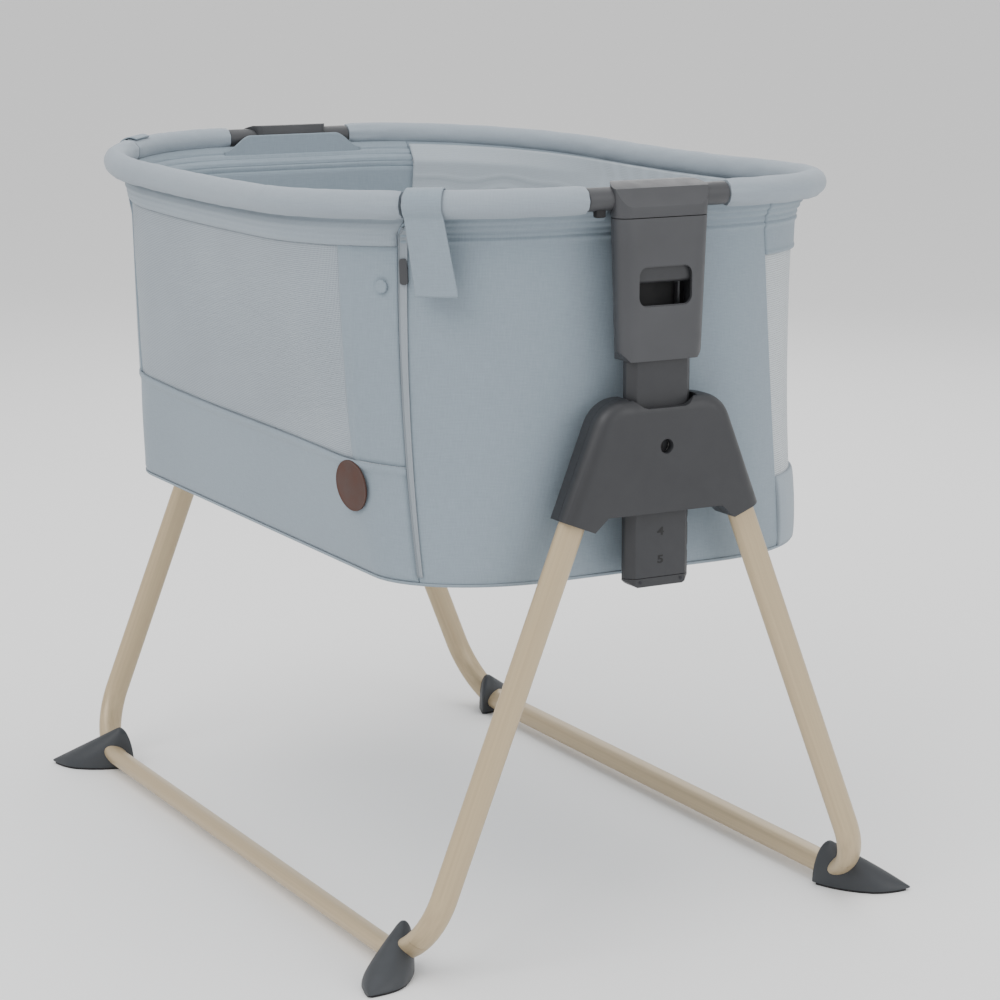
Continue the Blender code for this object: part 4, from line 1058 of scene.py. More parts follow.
@dataclass
class Stand(SubAssembly):
    """Four splayed legs, two floor bars and the boots that join them."""

    end_x: float = 0.4135
    bar_y: float = 0.250
    axis_height: float = 0.0165
    lean: float = math.radians(21.55)
    bend: float = 0.070
    leg_length: float = 0.484
    half_thin: float = 0.0095
    half_wide: float = 0.0135
    parted_at: float = 42.0
    heel: tuple[float, float] = (0.3530, 0.2290)
    boot_length: float = 0.0990
    boot_turn: float = math.radians(40.0)
    boot_height: float = 0.0475
    toe_height: float = 0.0042
    boot_half_width: float = 0.0210
    widest: float = 0.060
    ridge_peak: float = 0.018
    sole: float = 0.0025

    def build(self) -> None:
        """Build every piece of the stand."""
        sides = ((-1, "left"), (1, "right"))
        for end in End:
            for side_y, side in sides:
                self.leg(end, side_y, side)
                self.boot(end, side_y, side)
        for side_y, side in sides:
            self.floor_bar(side_y, side)

    def frame(self, side_y: int) -> Matrix:
        """Return the plane of a side's legs: X along the tub, Y up the leg, Z across the plane.

        Args:
            side_y: -1 for the left side and 1 for the right.

        Returns:
            The plane's matrix.
        """
        up = Vector((0.0, -side_y * math.sin(self.lean), math.cos(self.lean)))
        along = Vector((1.0, 0.0, 0.0))
        frame = Matrix((along, up, along.cross(up))).transposed().to_4x4()
        frame.translation = Vector((0.0, side_y * self.bar_y, self.axis_height))
        return frame

    def bend_points(self, first: float, last: float, count: int, side_x: int) -> list[Vector]:
        """Return points on a bend, 0 degrees at the leg and 90 at the floor bar.

        Args:
            first: where to start, in degrees.
            last: where to end.
            count: the number of steps.
            side_x: 1 for the near end and -1 for the far.

        Returns:
            The points in the side's plane.
        """
        points = []
        for i in range(count + 1):
            turn = math.radians(first + (last - first) * i / count)
            points.append(Vector((side_x * (self.end_x - self.bend + self.bend * math.cos(turn)),
                                  self.bend * (1 - math.sin(turn)), 0.0)))
        return points

    def tube(self, name: str, points: list[Vector], side_y: int) -> Cloth:
        """Return an oval tube drawn along points of a side's plane.

        Args:
            name: the object's name.
            points: the centre line in the side's plane.
            side_y: -1 for the left side and 1 for the right.

        Returns:
            The object.
        """
        frame = self.frame(side_y)
        path = [frame @ point for point in points]
        across = frame.to_3x3() @ Vector((0, 0, 1))
        return to_object(name, sweep(path, ellipse(self.half_thin, self.half_wide), 40, across))

    def leg(self, end: End, side_y: int, side: str) -> None:
        """Build one leg, from the housing down to the middle of its bend.

        Args:
            end: the leg's end.
            side_y: -1 for the left side and 1 for the right.
            side: the side's name.
        """
        run = self.leg_length - self.bend
        straight = [Vector((end.side * self.end_x, self.leg_length - run * i / 6, 0.0)) for i in range(6)]
        points = straight + self.bend_points(0.0, self.parted_at, 14, end.side)
        piece = self.tube(f"{end.value}_{side}_leg_tube", points, side_y)
        self.add(piece, Finish.TUBE, Body.STAND, "beige_tube", f"{end.value}_{side}_leg")

    def floor_bar(self, side_y: int, side: str) -> None:
        """Build one floor bar with the lower half of both its bends.

        Args:
            side_y: -1 for the left side and 1 for the right.
            side: the side's name.
        """
        near = self.bend_points(self.parted_at, 90.0, 16, 1)
        middle = [Vector((x, 0.0, 0.0)) for x in (0.28, 0.2, 0.1, 0.0, -0.1, -0.2, -0.28)]
        points = near + middle + self.bend_points(90.0, self.parted_at, 16, -1)
        piece = self.tube(f"{side}_floor_tube", points, side_y)
        self.add(piece, Finish.TUBE, Body.STAND, "beige_tube", f"{side}_floor_bar")

    def profile(self, along: float) -> tuple[float, float, float]:
        """Return a boot's half width, height and roundness at a distance from its heel.

        Args:
            along: the distance from the heel.

        Returns:
            The half width, the height and the power.
        """
        if along < self.widest:
            share = 1 - along / self.widest
            width = self.boot_half_width * (1 - share ** 2) ** 0.9
        else:
            share = (along - self.widest) / (self.boot_length - self.widest)
            width = self.boot_half_width * max(0.0, math.cos(math.pi / 2 * share)) ** 0.9
        if along < self.ridge_peak:
            height = self.boot_height * math.sqrt(max(0.0, 1 - (1 - along / self.ridge_peak) ** 2))
        else:
            share = (along - self.ridge_peak) / (self.boot_length - self.ridge_peak)
            height = self.boot_height + (self.toe_height - self.boot_height) * share
        return width, height, 0.5 + 0.8 * along / self.boot_length

    def boot(self, end: End, side_y: int, side: str) -> None:
        """Build a boot and its sole pad at one corner.

        Args:
            end: the corner's end.
            side_y: -1 for the left side and 1 for the right.
            side: the side's name.
        """
        turn = Matrix.Translation((*self.heel, 0.0)) @ Matrix.Rotation(-self.boot_turn, 4, "Z")
        mirror = Matrix.Diagonal((end.side, side_y, 1.0, 1.0))

        def shell(u: float, v: float) -> Vector:
            """Return the boot's surface over its sole."""
            along = self.boot_length * (1 - math.cos(math.pi * v)) / 2
            width, height, power = self.profile(along)
            arch = math.pi * u
            lift = (height - self.sole) * max(0.0, math.sin(arch)) ** power
            return Vector((width * math.cos(arch), along, self.sole + max(0.0, lift)))

        bm = close(patch(36, 44, shell, 0.07, self.boot_length))
        name = f"{end.value}_{side}_boot"
        boot = to_object(name, turned(bm, mirror @ turn), 50.0)
        self.add(boot, Finish.BOOT, Body.STAND, "housing_plastic", f"{end.value}_{side}_foot")

        def sole(u: float, v: float) -> Vector:
            """Return a point of the pad's flat outline."""
            along = 0.004 + (self.boot_length - 0.008) * v
            width = self.profile(along)[0] - 0.0014
            return Vector((width * (2 * u - 1), along, 0.0))

        bm = patch(10, 40, sole, 0.044, self.boot_length)
        bmesh.ops.remove_doubles(bm, verts=bm.verts, dist=MEETING)
        bmesh.ops.recalc_face_normals(bm, faces=bm.faces)
        pad = wall(to_object(f"{end.value}_{side}_sole", turned(bm, mirror @ turn)), 0.0022, 0.0)
        pad.data.transform(Matrix.Translation((0, 0, 0.0011)))
        self.add(pad, Finish.SOLE, Body.STAND, "sole_rubber", f"{end.value}_{side}_foot_pad")


# Ends

@dataclass
class EndAssembly(SubAssembly):
    """A sub-assembly that both ends carry, modelled at +X and turned to its own end."""

    end: End = End.NEAR

    def make(self, name: str, bm: Mesh, sharp: float = 30.0) -> Cloth:
        """Return a new object with the end's name before its own."""
        return to_object(f"{self.end.value}_{name}", bm, sharp)

    def fit(self, piece: Cloth, sharp: float, finish: Finish, slot: str, node: str,
            body: Body = Body.CARRIAGE) -> None:
        """Turn a piece to this end, shade it and add it in place of one of the end's nodes."""
        piece.data.transform(self.end.turn)
        self.add(resharpen(piece, sharp), finish, body, slot, f"{self.end.value}_{node}")


@dataclass
class EndHousing(EndAssembly):
    """The A-shaped moulding that joins two legs and guides the rail, in two shells."""

    fit_gap: float = 0.0003
    parting_gap: float = 0.00015
    rail_way: tuple[float, float] = (0.01245, 0.0367)
    stand: Stand = field(default_factory=Stand)
    depth: float = 0.0340
    top: float = 0.5318
    web_bottom: float = 0.4245
    sleeve_bottom: float = 0.418
    sleeve_wall: float = 0.0030
    web_half: float = 0.062
    shoulder: float = 0.034
    notch_depth: float = 0.0093
    notch_half: float = 0.0225
    notch_spread: float = 0.0120
    front_edge: float = 0.0135
    back_edge: float = 0.0060
    window_z: float = 0.4865
    window_radius: float = 0.0070
    rail_x: float = 0.4105

    def build(self) -> None:
        """Build both shells."""
        split = self.stand.end_x
        self.shell("outer", split + self.parting_gap, 0.5)
        self.shell("inner", 0.3, split - self.parting_gap)

    def outline(self) -> list[Vector]:
        """Return the housing's outline in Y and Z, all the way round.

        Returns:
            The points, Y first.
        """
        lean = self.stand.lean
        foot = Vector((self.stand.bar_y - math.tan(lean) * (self.sleeve_bottom - self.stand.axis_height),
                       self.sleeve_bottom))
        across = Vector((math.cos(lean), math.sin(lean)))
        up = Vector((-math.sin(lean), math.cos(lean)))
        half = self.stand.half_wide + self.sleeve_wall
        inner, outer = foot - across * half, foot + across * half
        side_top = outer + up * ((self.top - outer.y) / up.y)
        reach = self.shoulder * math.tan((math.pi / 2 - lean) / 2)
        centre = side_top + Vector((-reach, -self.shoulder))
        points = [Vector((0.0, self.web_bottom)), Vector((self.web_half, self.web_bottom)), inner, outer]
        for i in range(13):
            turn = lean + (math.pi / 2 - lean) * i / 12
            points.append(centre + self.shoulder * Vector((math.cos(turn), math.sin(turn))))
        points.append(Vector((0.0, self.top)))
        return points + [Vector((-p.x, p.y)) for p in reversed(points[1:-1])]

    def notch(self) -> Mesh:
        """Return the cut in the top that the rail comes out of, its lower corners rounded."""
        reach = self.notch_half + 2 * self.notch_spread
        low, high = self.top - self.notch_depth, self.top + self.notch_depth
        profile = ((-self.notch_half, low), (self.notch_half, low), (reach, high), (-reach, high))
        bm = prism([(self.stand.end_x - self.depth, y, z) for y, z in profile], (2 * self.depth, 0, 0))
        corners = [e for e in bm.edges if runs_along(e, 0) and all(v.co.z < self.top for v in e.verts)]
        rounded(bm, corners, 0.0040, 5)
        return bm

    def socket(self, side_y: int) -> Mesh:
        """Return the way that a leg goes up into the housing.

        Args:
            side_y: -1 for the left side and 1 for the right.

        Returns:
            The tool.
        """
        frame = self.stand.frame(side_y)
        heights = (0.36, 0.42, self.stand.leg_length + self.fit_gap)
        path = [frame @ Vector((self.stand.end_x, along, 0.0)) for along in heights]
        section = ellipse(self.stand.half_thin + self.fit_gap, self.stand.half_wide + self.fit_gap)
        return sweep(path, section, 40, frame.to_3x3() @ Vector((0, 0, 1)))

    def window(self, face: float) -> list[Mesh]:
        """Return the round window's hole and the flare round it.

        Args:
            face: where the front face lies along X.

        Returns:
            The two tools.
        """
        centre, radius = (0, self.window_z), self.window_radius
        return [rod(radius - 0.0012, (face - 0.0030, *centre), (face + 0.0030, *centre), 48, radius + 0.0012),
                rod(radius - 0.0008, (self.rail_x, *centre), (face + 0.01, *centre), 48)]

    def form(self) -> Mesh:
        """Return the housing's whole body, its rims rounded more on the front than on the back."""
        back, front = self.stand.end_x - self.depth / 2, self.stand.end_x + self.depth / 2
        bm = prism([(back, p.x, p.y) for p in self.outline()], (self.depth, 0, 0))
        underside = self.web_bottom + self.sleeve_wall
        for x, width in ((back, self.back_edge), (front, self.front_edge)):
            rims = [e for e in bm.edges if lies_at(e, x) and max(v.co.z for v in e.verts) > underside]
            rounded(bm, rims, width, 9)
        lower = [e for e in bm.edges if e.is_manifold and max(v.co.z for v in e.verts) < underside
                 and e.calc_face_angle(0.0) > 1.0 and not runs_along(e, 0)]
        rounded(bm, lower, 0.0022, 3)
        return bm

    def shell(self, kind: str, low: float, high: float) -> None:
        """Build one shell: the body between two planes, with its rail way and sockets.

        Args:
            kind: outer or inner.
            low: the plane it starts at, along X.
            high: the plane it ends at.
        """
        piece = self.make(f"housing_{kind}_shell", self.form())
        carve(piece, [block((low, -0.3, 0.2), (high, 0.3, 0.9))], "INTERSECT")
        deep, wide = self.rail_way
        way = block((self.rail_x - deep, -wide, 0.3), (self.rail_x + deep, wide, 0.6))
        tools = [self.notch(), way, self.socket(-1), self.socket(1)]
        if kind == "outer":
            tools += self.window(self.stand.end_x + self.depth / 2)
        carve(piece, tools)
        self.fit(piece, 30.0, Finish.HOUSING, "housing_plastic", f"housing_{kind}", Body.STAND)


@dataclass
class Rail(EndAssembly):
    """The post that slides through the housing, with its end cap and position numerals."""

    middle: float = 0.4105
    half_depth: float = 0.01025
    half_width: float = 0.0345
    chamfer: float = 0.0075
    wall: float = 0.0026
    bottom: float = 0.3528
    top: float = 0.604
    cap: float = 0.0088
    cap_gap: float = 0.0006
    foot_cut: tuple[float, float] = (0.0100, 0.0063)
    screws: tuple[float, float] = (-0.0215, 0.0225)
    screw_rise: float = 0.0048
    lock_height: float = 0.4915
    hole_radius: float = 0.0048
    pitch: float = 0.0267
    positions: str = "12345"
    numeral_height: float = 0.0075
    window_z: float = 0.4865

    def build(self) -> None:
        """Build the post with its lock holes, its cap, screws and numerals."""
        tools = []
        for step in range(len(self.positions)):
            z = self.lock_height - step * self.pitch
            inside, outside = (self.middle, self.half_width - 0.005, z), (self.middle, 0.06, z)
            tools.append(rod(self.hole_radius, inside, outside, 24))
        tools.append(self.section(self.wall, self.bottom, self.top + 0.01))
        piece = self.make("rail_post", self.section(0.0, self.bottom + self.cap, self.top))
        self.fit(carve(piece, tools), 30.0, Finish.RAIL, "housing_plastic", "rail")
        self.end_cap()
        self.numerals()

    def section(self, inset: float, low: float, high: float) -> Mesh:
        """Return a chamfered post between two heights.

        Args:
            inset: how far it is drawn in all round.
            low: its lower end.
            high: its upper end.

        Returns:
            The mesh.
        """
        bm = block((self.middle - self.half_depth + inset, -self.half_width + inset, low),
                   (self.middle + self.half_depth - inset, self.half_width - inset, high))
        for width, steps in ((self.chamfer - 0.6 * inset, 1), (0.0006, 2)):
            rounded(bm, [e for e in bm.edges if runs_along(e, 2)], width, steps)
        return bm

    def end_cap(self) -> None:
        """Build the cap that closes the post, with two small screws."""
        bm = self.section(0.0, self.bottom, self.bottom + self.cap - self.cap_gap)
        cut_corners(bm, self.half_width, self.bottom, *self.foot_cut)
        piece = self.make("post_cap", turned(bm, self.end.turn))
        self.add(piece, Finish.RAIL, Body.CARRIAGE, "housing_plastic", f"{self.end.value}_rail_cap")
        face, z = self.middle + self.half_depth, self.bottom + self.screw_rise
        heads = [rod(0.0016, (face - 0.001, y, z), (face + 0.0004, y, z), 20) for y in self.screws]
        screws = self.make("post_screws", turned(joined(heads), self.end.turn), 35.0)
        self.add(screws, Finish.BLACKED, Body.CARRIAGE, "steel")

    def numerals(self) -> None:
        """Build the position numerals: one behind the window at rest and the last two below the housing."""
        marks = []
        face = self.middle + self.half_depth + 0.00005
        upright = Matrix(((0, 0, 1, 0), (1, 0, 0, 0), (0, 1, 0, 0), (0, 0, 0, 1)))
        for steps, text in enumerate(self.positions):
            z = self.window_z - steps * self.pitch - (0.002 if steps else 0.0)
            marks.append(numeral(text, self.numeral_height, Matrix.Translation((face, 0, z)) @ upright))
        piece = self.make("numerals", turned(joined(marks), self.end.turn), 35.0)
        self.add(piece, Finish.INK, Body.CARRIAGE, "housing_plastic")


@dataclass
class Pod(EndAssembly):
    """The head on the rail: front and back shells, a sloped cap, the barrel and the squeeze lever."""

    middle: float = 0.4105
    front: float = 0.0146
    back: float = 0.0200
    bottom: float = 0.5660
    top: float = 0.7290
    parting: float = 0.6974
    half_front: float = 0.0590
    half_back: float = 0.0401
    taper: float = 0.0064
    foot_half: float = 0.0424
    foot_cut: tuple[float, float] = (0.0064, 0.0072)
    edge_round: float = 0.0013
    round_front: float = 0.0236
    round_back: float = 0.0040
    face_drop: float = 0.0215
    brow: tuple[float, float] = (0.0080, 0.0050)
    slope_end: float = 0.0251
    slot_half: float = 0.0283
    slot_low: float = 0.6170
    slot_high: float = 0.6520
    slot_round: float = 0.0080
    barrel_x: float = 0.405
    barrel_z: float = 0.7145
    barrel_radius: float = 0.0108
    barrel_half: float = 0.0750
    barrel_bore: float = 0.0083
    rail_gap: float = 0.01055
    rail_way: float = 0.0348
    hollow_half: float = 0.035
    rail_top: float = 0.6043
    hollow_top: float = 0.6935
    front_wall: float = 0.0030
    shell_gap: float = 0.0004
    parting_gap: float = 0.00012
    # Back and front depths of the near-black block in the pod's hollow, which is painted shade.
    lining: tuple[float, float] = (0.0102, 0.0094)
    plate: tuple[float, float] = (0.6370, 0.6640)
    plate_half: float = 0.0318
    plate_depth: float = 0.0118

    def build(self) -> None:
        """Build every piece of the pod."""
        self.shells()
        self.cap()
        self.barrel()
        self.lever()

    def body(self) -> Mesh:
        """Return the pod's outer form: narrower downwards and towards the tub, its front corners round."""
        low_x, high_x = self.middle - self.back, self.middle + self.front
        bm = block((low_x, -self.half_front, self.bottom), (high_x, self.half_front, self.top))
        for vertex in bm.verts:
            half = self.half_front if vertex.co.x > self.middle else self.half_back
            narrowing = 0.0 if vertex.co.z > self.parting else self.taper
            vertex.co.y = math.copysign(half - narrowing, vertex.co.y)
        for x, width, steps in ((high_x, self.round_front, 12), (low_x, self.round_back, 4)):
            corners = [e for e in bm.edges if runs_along(e, 2) and lies_at(e, x)]
            rounded(bm, corners, width, steps)
        run, drop = self.brow
        brow = (high_x - run, 0.0, self.top - drop)
        slice_off(bm, brow, (self.face_drop - drop, 0.0, run))
        slice_off(bm, brow, (drop, 0.0, self.slope_end - run))
        cut_corners(bm, self.foot_half, self.bottom, *self.foot_cut)
        return bm

    def shells(self) -> None:
        """Build the front and back shells with the finger slot, hollow and ways for rail and barrel, and
        painted shade in the hollow.
        """
        split, gap = self.middle + 0.0005, self.parting_gap
        for kind, low, high in (("front", split + gap, 0.6), ("back", 0.2, split - gap)):
            piece = self.make(f"pod_{kind}_shell", self.body())
            soften(piece, self.edge_round, 3, 28.0)
            bake(piece)
            carve(piece, [block((low, -0.1, 0.5), (high, 0.1, self.parting - self.shell_gap))], "INTERSECT")
            way, wide, deep = self.rail_way, self.hollow_half, self.rail_gap
            back, face = self.middle - deep, self.middle + self.front
            tools = [block((back, -way, 0.55), (self.middle + deep, way, self.rail_top)),
                     block((back, -wide, self.rail_top - 0.0023),
                           (face - self.front_wall, wide, self.hollow_top))]
            if kind == "front":
                tools += self.finger_slot(face)
            self.fit(carve(piece, tools), 30.0, Finish.POD, "pod_plastic", f"pod_{kind}")
        # Painted shade: a near-black block fills the hollow so that it reads dark through the finger slot.
        back, front = (self.middle - depth for depth in self.lining)
        hollow = block((back, -0.0343, 0.6046), (front, 0.0343, 0.6930))
        lining = self.make("pod_painted_hollow_shade", turned(hollow, self.end.turn), 35.0)
        self.add(lining, Finish.BLACK_AND_HOLLOW_SHADE, Body.CARRIAGE, "housing_plastic")

    def finger_slot(self, face: float) -> list[Mesh]:
        """Return the slot through the front shell and the shallow step round it.

        Args:
            face: where the front face lies along X.

        Returns:
            The two tools.
        """
        tools = []
        for start, more in ((self.middle, 0.0), (face - 0.0011, 0.001)):
            half = self.slot_half + more
            cut = block((start, -half, self.slot_low - more), (0.5, half, self.slot_high + more))
            rounded(cut, [e for e in cut.edges if runs_along(e, 0)], self.slot_round + more, 8)
            tools.append(cut)
        for vertex in tools[1].verts:
            if vertex.co.x < 0.45:
                vertex.co.y *= self.slot_half / (self.slot_half + 0.0012)
        return tools

    def crossbar(self, radius: float, half: float, sides: int) -> Mesh:
        """Return a rod on the barrel's axis."""
        return rod(radius, (self.barrel_x, -half, self.barrel_z), (self.barrel_x, half, self.barrel_z), sides)

    def cap(self) -> None:
        """Build the cap, its top falling to the front in a gentle slope and then a steep facet."""
        piece = self.make("pod_lid", self.body())
        carve(piece, [block((0.2, -0.1, self.parting + self.shell_gap), (0.6, 0.1, 0.8))], "INTERSECT")
        carve(piece, [self.crossbar(self.barrel_radius + 0.0004, 0.1, 64)])
        soften(piece, 0.0009, 3, 25.0)
        bake(piece)
        self.fit(piece, 40.0, Finish.POD, "pod_plastic", "pod_cap")

    def barrel(self) -> None:
        """Build the barrel that the rim runs through, with a small hook under its left end."""
        bm = self.crossbar(self.barrel_radius, self.barrel_half, 64)
        rounded(bm, [e for e in bm.edges if not runs_along(e, 1)], 0.0016, 3)
        piece = carve(self.make("rim_barrel", bm), [self.crossbar(self.barrel_bore, 0.1, 32)])
        self.fit(piece, 30.0, Finish.POD, "housing_plastic", "barrel")
        hook = block((self.barrel_x - 0.001, -0.0660, self.barrel_z - 0.0165),
                     (self.barrel_x + 0.0065, -0.0555, self.barrel_z - 0.0085))
        rounded(hook, hook.edges[:], 0.0018, 2)
        piece = self.make("rim_hook", turned(hook, self.end.turn), 35.0)
        self.add(piece, Finish.BLACK_AND_HOLLOW_SHADE, Body.CARRIAGE, "housing_plastic")

    def lever(self) -> None:
        """Build the grip plate behind the slot, rolled under at its lower edge."""
        front = self.middle + self.front - 0.0041
        low, high = self.plate
        bm = block((front - self.plate_depth, -self.plate_half, low), (front, self.plate_half, high))
        lip = [e for e in bm.edges if all(v.co.z < low + 1e-6 and v.co.x > front - 1e-6 for v in e.verts)]
        rounded(bm, lip, 0.0048, 8)
        piece = self.make("grip_plate", turned(bm, self.end.turn))
        soften(piece, 0.0008, 2, 50.0)
        self.add(piece, Finish.HOUSING, self.end.lever, "housing_plastic", f"{self.end.value}_release_lever")


# Rim

@dataclass
class PaddedRim(SubAssembly):
    """The foam sleeves round the steel hoop, one on the drop side's own bar."""

    radius: float = 0.0135
    joint_angle: float = 44.0
    parting: float = 0.28
    barrel_end: float = 0.0756
    step: float = 0.007

    def build(self) -> None:
        """Build the four sleeves."""
        joint, gap = self.joint_angle, self.parting
        length, end = FORM.rim.half_length, self.barrel_end
        frame, drop = Body.CARRIAGE, Body.DROP_SIDE
        spans = (
            ("near_corner_padding", "near_rim", frame, -joint + gap, 0.0, [], [(length, -end)]),
            ("far_corner_padding", "far_rim", frame, 180.0, 180.0 + joint - gap, [(-length, -end)], []),
            ("mesh_side_padding", "mesh_rim", frame, 0.0, 180.0, [(length, end)], [(-length, end)]),
            ("drop_bar_padding", "drop_rim", drop, 180.0 + joint + gap, 360.0 - joint - gap, [], []),
        )
        for node, name, body, first, last, before, after in spans:
            flat = [point for point in FORM.rim.walk(first, last, max(24, int((last - first) * 1.3)))
                    if abs(point.y) > end + 0.001 or abs(point.x) < length - 0.004]
            path = [FORM.rim_point(Vector(point)) for point in (*before, *flat, *after)]
            steps = max(16, int(distances(path)[-1] / self.step))
            self.sleeve(f"{name}_sleeve", node, resampled(path, steps), body)

    def sleeve(self, name: str, node: str, path: list[Vector], body: Body) -> None:
        """Build one sleeve: slack cloth over foam, gathered at both ends, with a seam along its underside.

        Args:
            name: the object's name.
            node: the node it replaces.
            path: its centre line.
            body: the body it rides on.
        """
        def section(turn: float, share: float) -> tuple[float, float]:
            """Return the sleeve's uneven round section."""
            ends = min(share, 1 - share)
            gathers = 0.00035 * math.cos(turn * 9) * (1 - smooth_step(0.0, 0.06, ends))
            slack = 0.0006 * rumple(math.cos(turn) * 1.2, math.sin(turn) * 1.2, share * 40)
            tuck = 0.0012 * (1 - smooth_step(0.0, 0.008, ends))
            seam = 0.0008 * ridge((turn / math.pi) % 2.0, 1.62, 0.07)
            size = self.radius - 0.0006 + gathers + slack - tuck + seam
            return size * math.cos(turn), size * math.sin(turn)

        piece = to_object(name, sweep(path, section, 40), 60.0)
        self.add(piece, Finish.RIM, body, "fabric", node)


# Tub

@dataclass
class TubWalls(SubAssembly):
    """The cover: two end walls, the mesh side, the drop side, bottom, zips, flaps and badge."""

    zip_top: float = 44.0
    zip_bottom: float = 58.0
    mesh_top: float = 19.5
    mesh_bottom: float = 37.0
    thickness: float = 0.0042
    band_thickness: float = 0.0062
    sheer_thickness: float = 0.0007
    seam_gap: float = 0.22
    stitch_gap: float = 0.05
    band_top: float = 0.430
    upper_band: float = 0.6500
    band_seam: float = 0.6745
    window_half: float = 0.268
    drop_half: float = 0.325
    crease: float = 0.4752
    channel_foot: float = 0.6730
    channel_heights: tuple[float, ...] = (0.6965, 0.6908, 0.6851, 0.6794)
    facing_foot: float = 0.650
    notch_x: float = 0.3895
    notch_half: float = 0.0455
    notch_foot: float = 0.563
    room_radius: float = 0.0118
    room_half: float = 0.0760
    zip_foot: float = 0.366
    zip_head: float = 0.694
    zip_teeth: int = 150
    flap_length: float = 0.117
    flap_angles: tuple[float, float] = (34.5, 43.2)
    apron_top: float = 0.7190
    apron_foot: float = 0.6945
    apron_x: float = 0.3890
    apron_half: float = 0.086

    def build(self) -> None:
        """Build every piece of the tub's cover."""
        self.end_walls()
        self.mesh_side()
        self.inner_band()
        self.drop_side()
        self.bottom()
        for end in End:
            self.zip_line(end)
            self.flap(end)
            self.apron(end)
        self.badge()
        self.snaps()

    def hem(self, z: float) -> float:
        """Return how far the cover is drawn in at its hem, a value below zero."""
        return -0.0012 * (1 - smooth_step(FORM.bottom, FORM.bottom + 0.0055, z))

    def channels(self, z: float) -> float:
        """Return how far the stitched channels under the rim stand out at a height."""
        ribs = sum(ridge(z, level, 0.0026) for level in self.channel_heights)
        return 0.0014 * ribs + 0.0006 * smooth_step(0.674, 0.678, z)

    def strip(self, name: str, first: tuple[float, float], last: tuple[float, float], low: float, high: float,
              proud: Relief, columns: int, rows: int) -> Cloth:
        """Build a strip of wall between two seams and two heights.

        Args:
            name: the object's name.
            first: the first seam's angles at the rim and at the hem, in degrees.
            last: the second seam's angles.
            low: the strip's lower height.
            high: its upper height.
            proud: from both parameters and the height to how far the cloth stands out.
            columns: faces along the strip.
            rows: faces up it.

        Returns:
            The open skin.
        """
        levels: list[list[Vector]] = []
        for row, z in enumerate(self.heights(low, high, rows)):
            start = FORM.seam(*first, z) + self.parting(first)
            stop = FORM.seam(*last, z) - self.parting(last)
            flat = FORM.plan(z).walk(start, stop, columns)
            line = []
            for column, point in enumerate(flat):
                run = (flat[min(column + 1, columns)] - flat[max(column - 1, 0)]).normalized()
                out = Vector((run.y, -run.x)) * proud(column / columns, row / rows, z)
                line.append(FORM.settle(point + out, z))
            levels.append(line)
        width = distances(levels[rows // 2])[-1]
        bm = patch(columns, rows, lambda u, v: levels[round(v * rows)][round(u * columns)], width, high - low)
        layer = bm.loops.layers.uv.verify()
        for face in bm.faces:
            for loop in face.loops:
                loop[layer].uv.y = loop.vert.co.z
        outermost = max(bm.faces, key=lambda face: face.calc_center_median().length)
        face_towards(bm, outermost, (*outermost.calc_center_median().xy, 0.0))
        return to_object(name, bm, 60.0)

    def parting(self, seam: tuple[float, float]) -> float:
        """Return how far a strip stays clear of a seam, in degrees: a zip needs more room than stitching."""
        return self.seam_gap if seam[0] in (-self.zip_top, 180.0 + self.zip_top) else self.stitch_gap

    def heights(self, low: float, high: float, rows: int) -> list[float]:
        """Return a strip's row heights, close together where the channels lie.

        Args:
            low: the strip's lower height.
            high: its upper height.
            rows: faces up it.

        Returns:
            The heights, rows and one more.
        """
        if low > 0.6 or high < 0.7:
            return [low + (high - low) * row / rows for row in range(rows + 1)]
        coarse = rows // 2
        below = [low + (self.channel_foot - low) * row / coarse for row in range(coarse)]
        return below + [self.channel_foot + (high - self.channel_foot) * row / (rows - coarse)
                        for row in range(rows - coarse + 1)]

    def slack(self, u: float, z: float, seed: float, size: float = 0.0011) -> float:
        """Return the cover's gentle unevenness, none at its seams."""
        edge = smooth_step(0.0, 0.12, min(u, 1 - u)) * smooth_step(0.36, 0.40, z)
        return size * edge * (1 - smooth_step(0.66, 0.69, z)) * rumple(u * 5.0, z * 11.0, seed)

    def end_walls(self) -> None:
        """Build both end walls with the channels under the rim and a notch behind each barrel."""
        zipped, meshed = (self.zip_top, self.zip_bottom), (self.mesh_top, self.mesh_bottom)
        spans = ((End.NEAR, [-angle for angle in zipped], meshed, 1.7),
                 (End.FAR, [180.0 - angle for angle in meshed], [180.0 + angle for angle in zipped], 8.2))
        for end, first, last, seed in spans:
            def proud(u: float, v: float, z: float) -> float:
                """Return the end wall's relief."""
                return self.channels(z) + self.slack(u, z, seed) + self.hem(z)

            piece = self.strip(f"{end.value}_end_cover", first, last, FORM.bottom, FORM.top, proud, 110, 86)
            wall(piece, self.thickness)
            low, high = sorted((end.side * self.notch_x, end.side * (self.notch_x + 0.06)))
            notch = block((low, -self.notch_half, self.notch_foot), (high, self.notch_half, 0.8))
            axis, half, height = end.side * FORM.rim.half_length, self.room_half, FORM.rim_height
            room = rod(self.room_radius, (axis, -half, height), (axis, half, height), 48)
            carve(piece, [notch, room])
            self.add(resharpen(piece, 50.0), Finish.COVER, Body.CARRIAGE, "fabric", f"{end.value}_end_wall")

    def apron(self, end: End) -> None:
        """Build the strip of cover that hides a barrel from inside the tub.

        Args:
            end: the barrel's end.
        """
        def place(u: float, v: float) -> Vector:
            """Return the strip's point."""
            top = self.apron_top - 0.018 * smooth_step(0.62, 1.0, abs(2 * u - 1))
            return Vector((end.side * self.apron_x, self.apron_half * (2 * u - 1),
                           self.apron_foot + (top - self.apron_foot) * v))

        bm = patch(60, 16, place, 2 * self.apron_half, self.apron_top - self.apron_foot)
        face_towards(bm, next(iter(bm.faces)), (end.side, 0.0, 0.0))
        piece = wall(to_object(f"{end.value}_barrel_apron", bm, 60.0), 0.0016)
        self.add(piece, Finish.COVER, Body.CARRIAGE, "fabric")

